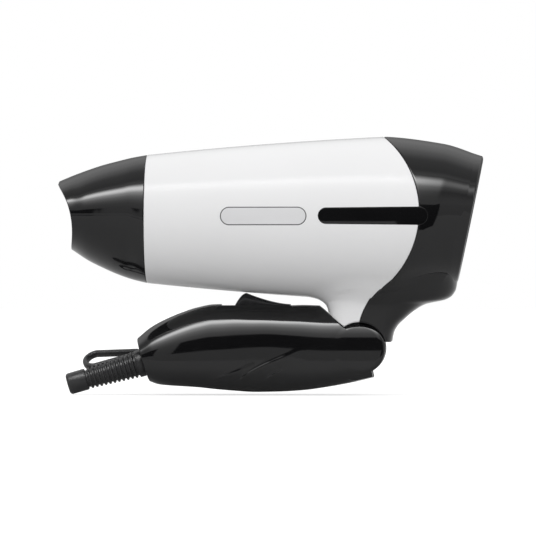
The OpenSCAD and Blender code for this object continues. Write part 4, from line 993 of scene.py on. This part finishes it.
# runs a tree with these inputs and gives its mesh, whose Z runs along a direction from a point in millimetres
def grown(tree, values, look, origin, along):
    holder = shown("holder", bpy.data.meshes.new("holder"))
    m = holder.modifiers.new("grow", "NODES")
    m.node_group = tree
    known = {i.name: i.identifier for i in tree.interface.items_tree if i.in_out == "INPUT"}
    m[known["Material"]] = materials[look]
    for name, value in values.items():
        m[known[name]] = value if name == "Count" else value / 1000
    holder.update_tag()
    bpy.context.view_layer.update()
    mesh = evaluated(holder)
    bpy.data.objects.remove(holder)
    z = unit(np.asarray(along, float))
    y = unit(np.cross(z, (0, 1, 0)))
    place = Matrix.Identity(4)
    for i, axes in enumerate(zip(np.cross(y, z), y, z, origin * 0.001)):
        place[i] = axes
    mesh.transform(place)
    return mesh


relief = dict(collar=4.0, pitch=2.2, ribs=11, cap=9.6, firstR=6.6, lastR=5.3, depth=1.1, bore=3.3,
              neck=5.6, width=1.5, rootIn=-4.5)
v = relief
ribEnd = v["collar"] + v["ribs"] * v["pitch"]
end = ribEnd + 1 + v["cap"]
firstCore, lastCore = v["firstR"] - v["depth"], v["lastR"] - v["depth"]
profile = [(v["rootIn"], v["bore"]), (v["rootIn"], v["neck"]), (v["collar"] - 0.1, v["neck"]),
           (v["collar"], firstCore), (ribEnd, lastCore), (ribEnd + 0.9, lastCore)]
profile += [(ribEnd + d, v["lastR"] - r) for d, r in ((1.0, 0.6), (1.25, 0.2), (1.7, 0.05))]
profile += [(end - d, v["lastR"] - r) for d, r in ((1.3, 0.1), (0.7, 0.25), (0.25, 0.6), (0, 1.1))]
profile += [(end, v["bore"] + 0.3), (end - 0.3, v["bore"])]
core = Build()
core.ring(revolve(profile, 120, reliefStart, reliefOut))
ribs = grown(ribTree(), {"Count": v["ribs"], "Pitch": v["pitch"], "First radius": firstCore - 0.12,
                         "Last radius": lastCore, "Rib height": v["depth"], "Rib width": v["width"]},
             "rubber_black", reliefStart + reliefOut * (v["collar"] + v["pitch"] - v["width"] / 2), reliefOut)
boot = shown("reliefBoot", mend(core.mesh("reliefBoot"), [ribs]))
dress(boot, "rubber_black", "handle", "strain_relief", 35)

outletBox = [inMm(v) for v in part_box("outlet_grille")]
inletGrille = dict(r=27.4, thick=2.4, inset=0.6, rings=6, spokes=8, hub=3.0, bar=1.2, spoke=1.6, edge=0.25)
outletGrille = dict(r=(outletBox[1][1] - outletBox[0][1]) / 2, thick=2.0, inset=0, rings=4, spokes=6, hub=3.0,
                    bar=1.2, spoke=1.4, edge=0.25)


# a hub, rings about it and spokes across them
def lattice(name, g, origin, along, replaced):
    origin = origin - along * g["inset"]
    hub, t, e = g["hub"], g["thick"], g["edge"]
    form = Build()
    form.ring(revolve([(0, 0.02), (-t, 0.02), (-t, hub), (-0.35, hub), (-0.1, hub - 0.1), (0, hub - 0.35)],
                      48, origin, along))
    for i in range(1, g["rings"] + 1):
        outer = hub + i * (g["r"] - hub) / g["rings"]
        inner = outer - g["bar"]
        section = [(-t, inner), (-e, inner), (-e * 0.3, inner + e * 0.3), (0, inner + e), (0, outer - e),
                   (-e * 0.3, outer - e * 0.3), (-e, outer), (-t, outer)]
        form.ring(revolve(section, 160, origin, along))
    bars = grown(spokes, {"Count": g["spokes"], "Inner radius": hub - 0.4, "Outer radius": g["r"] - 0.5,
                          "Width": g["spoke"], "Depth": t - 0.3},
                 "grille_black", origin - along * (t / 2 + 0.15), along)
    dress(shown(name, mend(form.mesh(name), [bars])), "grille_black", "barrel", replaced, 35)


spokes = spokeTree()
lattice("inletLattice", inletGrille, inletAt, inletAxis, "inlet_grille")
lattice("outletLattice", outletGrille, np.array([outletBox[0][0], 0, axisZ]), np.array([-1.0, 0, 0]),
        "outlet_grille")
print("repeated forms")


strap = dict(length=20.5, width=8.0, thick=2.6, wide=3.4, lean=56.0, near=2.2, nearOut=0.3, square=3.2)
v = strap
farR = v["width"] / 2 + v["thick"]
tilt = math.asin((farR - v["near"]) / v["length"])
upward = np.cross([0, 1, 0], reliefOut)
upward = upward * np.sign(upward[2])
lean = math.radians(v["lean"])
radial = math.cos(lean) * upward + math.sin(lean) * np.array([0, 1.0, 0])
loopNormal = unit(np.cross(reliefOut, radial))
outDir = math.cos(tilt) * reliefOut + math.sin(tilt) * radial
acrossDir = math.cos(tilt) * radial - math.sin(tilt) * reliefOut
loopAt = (reliefStart + reliefOut * (relief["collar"] - 0.9)
          + radial * (relief["firstR"] + v["nearOut"] + v["near"]))
nearR = v["near"] - v["thick"] / 2 + 0.3
midFar = farR - v["thick"] / 2
path = [(nearR * math.cos(a) + 0.2, nearR * math.sin(a))
        for a in np.linspace(math.pi / 2, 3 * math.pi / 2, 24)]
path += [(v["length"] + midFar * math.cos(a), midFar * math.sin(a))
         for a in np.linspace(-math.pi / 2, math.pi / 2, 60)]
closed = np.array(path + path[:1])
lengths = measured(closed)
even = np.linspace(0, lengths[-1], 181)[:-1]
path = np.stack([np.interp(even, lengths, closed[:, i]) for i in range(2)], -1)
ahead = unit(np.roll(path, -1, 0) - np.roll(path, 1, 0))
c, s = polar(fullTurn(28), v["square"])
rows = []
for p, o in zip(path, np.stack([ahead[:, 1], -ahead[:, 0]], -1)):
    centre = loopAt + outDir * p[0] + acrossDir * p[1]
    away = outDir * o[0] + acrossDir * o[1]
    rows.append(centre + (c * v["thick"] / 2)[:, None] * away + (s * v["wide"] / 2)[:, None] * loopNormal)
neckR, outerR, collarEnd = relief["neck"] + 0.1, relief["firstR"], relief["collar"] - 0.2
collar = [(0.5, neckR), (0.5, outerR - 0.4), (0.7, outerR - 0.1), (1.0, outerR), (collarEnd - 0.5, outerR),
          (collarEnd - 0.2, outerR - 0.1), (collarEnd, outerR - 0.4), (collarEnd, neckR)]
loop = Build()
loop.ring(rows)
loop.ring(revolve(collar, 120, reliefStart, reliefOut))
loop.make("hangStrap", "rubber_black", "handle", "hang_loop")
print("hang loop")


stage = dict(half=6.0, floorDiffuse=0.5, floorGlossy=0.62, floorSeen=0.62, floorGlow=0.6, sky=1.0, front=0.17,
             frontElevation=5, lampDistance=2.5, lampHeight=0.8, lampDrop=0.72, lampSize=(3.0, 1.6),
             stripRight=(0.08, 0.42, 1, 0.18), stripLeft=(-0.75, -0.25, 0.12, 1),
             stripFoot=np.radians([20, 42]), stripTop=np.radians([64, 72]), flagY=-0.29,
             aimX=-0.0019, aimDrop=0.0012, yaw=2.2, cameraDistance=3.0, lens=415.0)
# black cards near the camera, seen only in the gloss: x0, x1, z0, z1
flags = [(-0.33, -0.15, 0.068, 0.171), (-0.088, 0.1, 0.068, 0.171), (0.1, 0.215, 0.004, 0.19)]
# elevation seen in the gloss, from the camera's side over the top, and its brightness
reflected = [(-90, 0.45), (0, 0.5), (18, 0.55), (27, 0.7), (34, 1.1), (42, 2.2), (50, 5.0), (56, 12.5),
             (60, 13.0), (63, 7.0), (67, 1.0), (77, 0.42), (98, 0.5), (110, 0.85), (125, 1.0),
             (144, 0.7), (160, 0.3), (180, 0.15)]
reflectedTop = max(v for _, v in reflected)


# flat faces that belong to the stage
def stagePiece(name, corners, material):
    mesh = bpy.data.meshes.new(name)
    mesh.from_pydata(corners, [], [tuple(range(i, i + 4)) for i in range(0, len(corners), 4)])
    mesh.materials.append(material)
    piece = shown(name, mesh)
    return piece


def newMaterial(name):
    material = bpy.data.materials.new(name)
    material.use_nodes = True
    return material, material.node_tree


# one shader for camera rays, one for mirrored rays and one for all others
def byRay(tree, seen, mirrored, other, output):
    rays = addNode(tree, "ShaderNodeLightPath").outputs
    gloss = addNode(tree, "ShaderNodeMixShader", {0: rays["Is Glossy Ray"], 1: other, 2: mirrored})
    final = addNode(tree, "ShaderNodeMixShader", {0: rays["Is Camera Ray"], 1: gloss, 2: seen})
    addNode(tree, output, {"Surface": final})


floorWhite, tree = newMaterial("floorWhite")
tree.nodes.clear()
diffuse, glossy, seen = [addNode(tree, "ShaderNodeBsdfDiffuse", {"Color": (stage[k], stage[k], stage[k], 1)})
                         for k in ("floorDiffuse", "floorGlossy", "floorSeen")]
glow = addNode(tree, "ShaderNodeEmission", {"Strength": stage["floorGlow"]})
lit = addNode(tree, "ShaderNodeAddShader", {0: seen, 1: glow})
byRay(tree, lit, glossy, diffuse, "ShaderNodeOutputMaterial")
half = stage["half"]
stagePiece("floor", [(-half, -half, 0), (half, -half, 0), (half, half, 0), (-half, half, 0)], floorWhite)

flagBlack, tree = newMaterial("flagBlack")
plug(tree, tree.nodes["Principled BSDF"], {"Base Color": (0, 0, 0, 1), "Specular IOR Level": 0})
flag = stagePiece("flag", [(x, stage["flagY"], z) for x0, x1, z0, z1 in flags
                           for x, z in ((x0, z0), (x1, z0), (x1, z1), (x0, z1))], flagBlack)
for ray in ("camera", "diffuse", "shadow", "transmission", "volume_scatter"):
    setattr(flag, "visible_" + ray, False)

world = bpy.data.worlds.new("studio")
scene.world = world
world.use_nodes = True
tree = world.node_tree
tree.nodes.clear()
where = addNode(tree, "ShaderNodeTexCoord").outputs["Generated"]
axes = addNode(tree, "ShaderNodeSeparateXYZ", {0: where}).outputs
elevation = calc(tree, "ARCTAN2", axes["Z"], calc(tree, "MULTIPLY", axes["Y"], -1))
bands = addNode(tree, "ShaderNodeValToRGB", {
    "Fac": mapRange(tree, elevation, -math.pi / 2, math.pi, 0, 1)})
ramp = bands.color_ramp.elements
while len(ramp) < len(reflected):
    ramp.new(0.5)
for stop, (angle, value) in zip(ramp, reflected):
    stop.position = (angle + 90) / 270
for stop, (angle, value) in zip(ramp, reflected):
    stop.color = (*[value / reflectedTop] * 3, 1)


def smoothStep(source, low, high, start, end):
    return mapRange(tree, source, low, high, start, end, interpolation_type="SMOOTHSTEP")


def opposite(source):
    return calc(tree, "SUBTRACT", 1, source)


# the lamp's strip is weaker towards both ends, the wall below it is not
ends = calc(tree, "MULTIPLY", smoothStep(axes["X"], *stage["stripRight"]),
            smoothStep(axes["X"], *stage["stripLeft"]))
above = calc(tree, "MULTIPLY", smoothStep(elevation, *stage["stripFoot"], 0, 1),
             smoothStep(elevation, *stage["stripTop"], 1, 0))
weaker = opposite(calc(tree, "MULTIPLY", opposite(ends), above))
mirrored = addNode(tree, "ShaderNodeBackground", {
    "Color": bands, "Strength": calc(tree, "MULTIPLY", weaker, reflectedTop)})
fill, seen = [addNode(tree, "ShaderNodeBackground", {"Color": (1, 1, 1, 1), "Strength": strength})
              for strength in (stage["sky"], 1)]
byRay(tree, seen, mirrored, fill, "ShaderNodeOutputWorld")

distance = stage["lampDistance"]
light = bpy.data.lights.new("front", "AREA")
light.shape = "RECTANGLE"
light.size, light.size_y = stage["lampSize"]
light.energy = stage["front"] * math.pi * distance ** 2 * math.pi
lamp = shown("front", light)
lamp.location = (0, -distance * math.cos(math.radians(stage["frontElevation"])), stage["lampHeight"])
lamp.rotation_euler = (math.pi / 2 - math.atan2(stage["lampDrop"], distance), 0, 0)
lamp.visible_glossy = False
lamp.visible_camera = False

cam = bpy.data.cameras.new("camera")
cam.lens = stage["lens"]
cam.sensor_width = 36.0
cam.clip_start, cam.clip_end = 0.1, 30
eye = shown("camera", cam)
low, high = [Vector(v) for v in cadBox]
aim = Vector((stage["aimX"], 0, (low.z + high.z) / 2 - stage["aimDrop"]))
yaw = math.radians(stage["yaw"])
eye.location = aim + Vector((math.sin(yaw), -math.cos(yaw), 0)) * stage["cameraDistance"]
eye.rotation_euler = (math.pi / 2, 0, yaw)
scene.camera = eye
scene.view_settings.view_transform = "Standard"
print("stage")
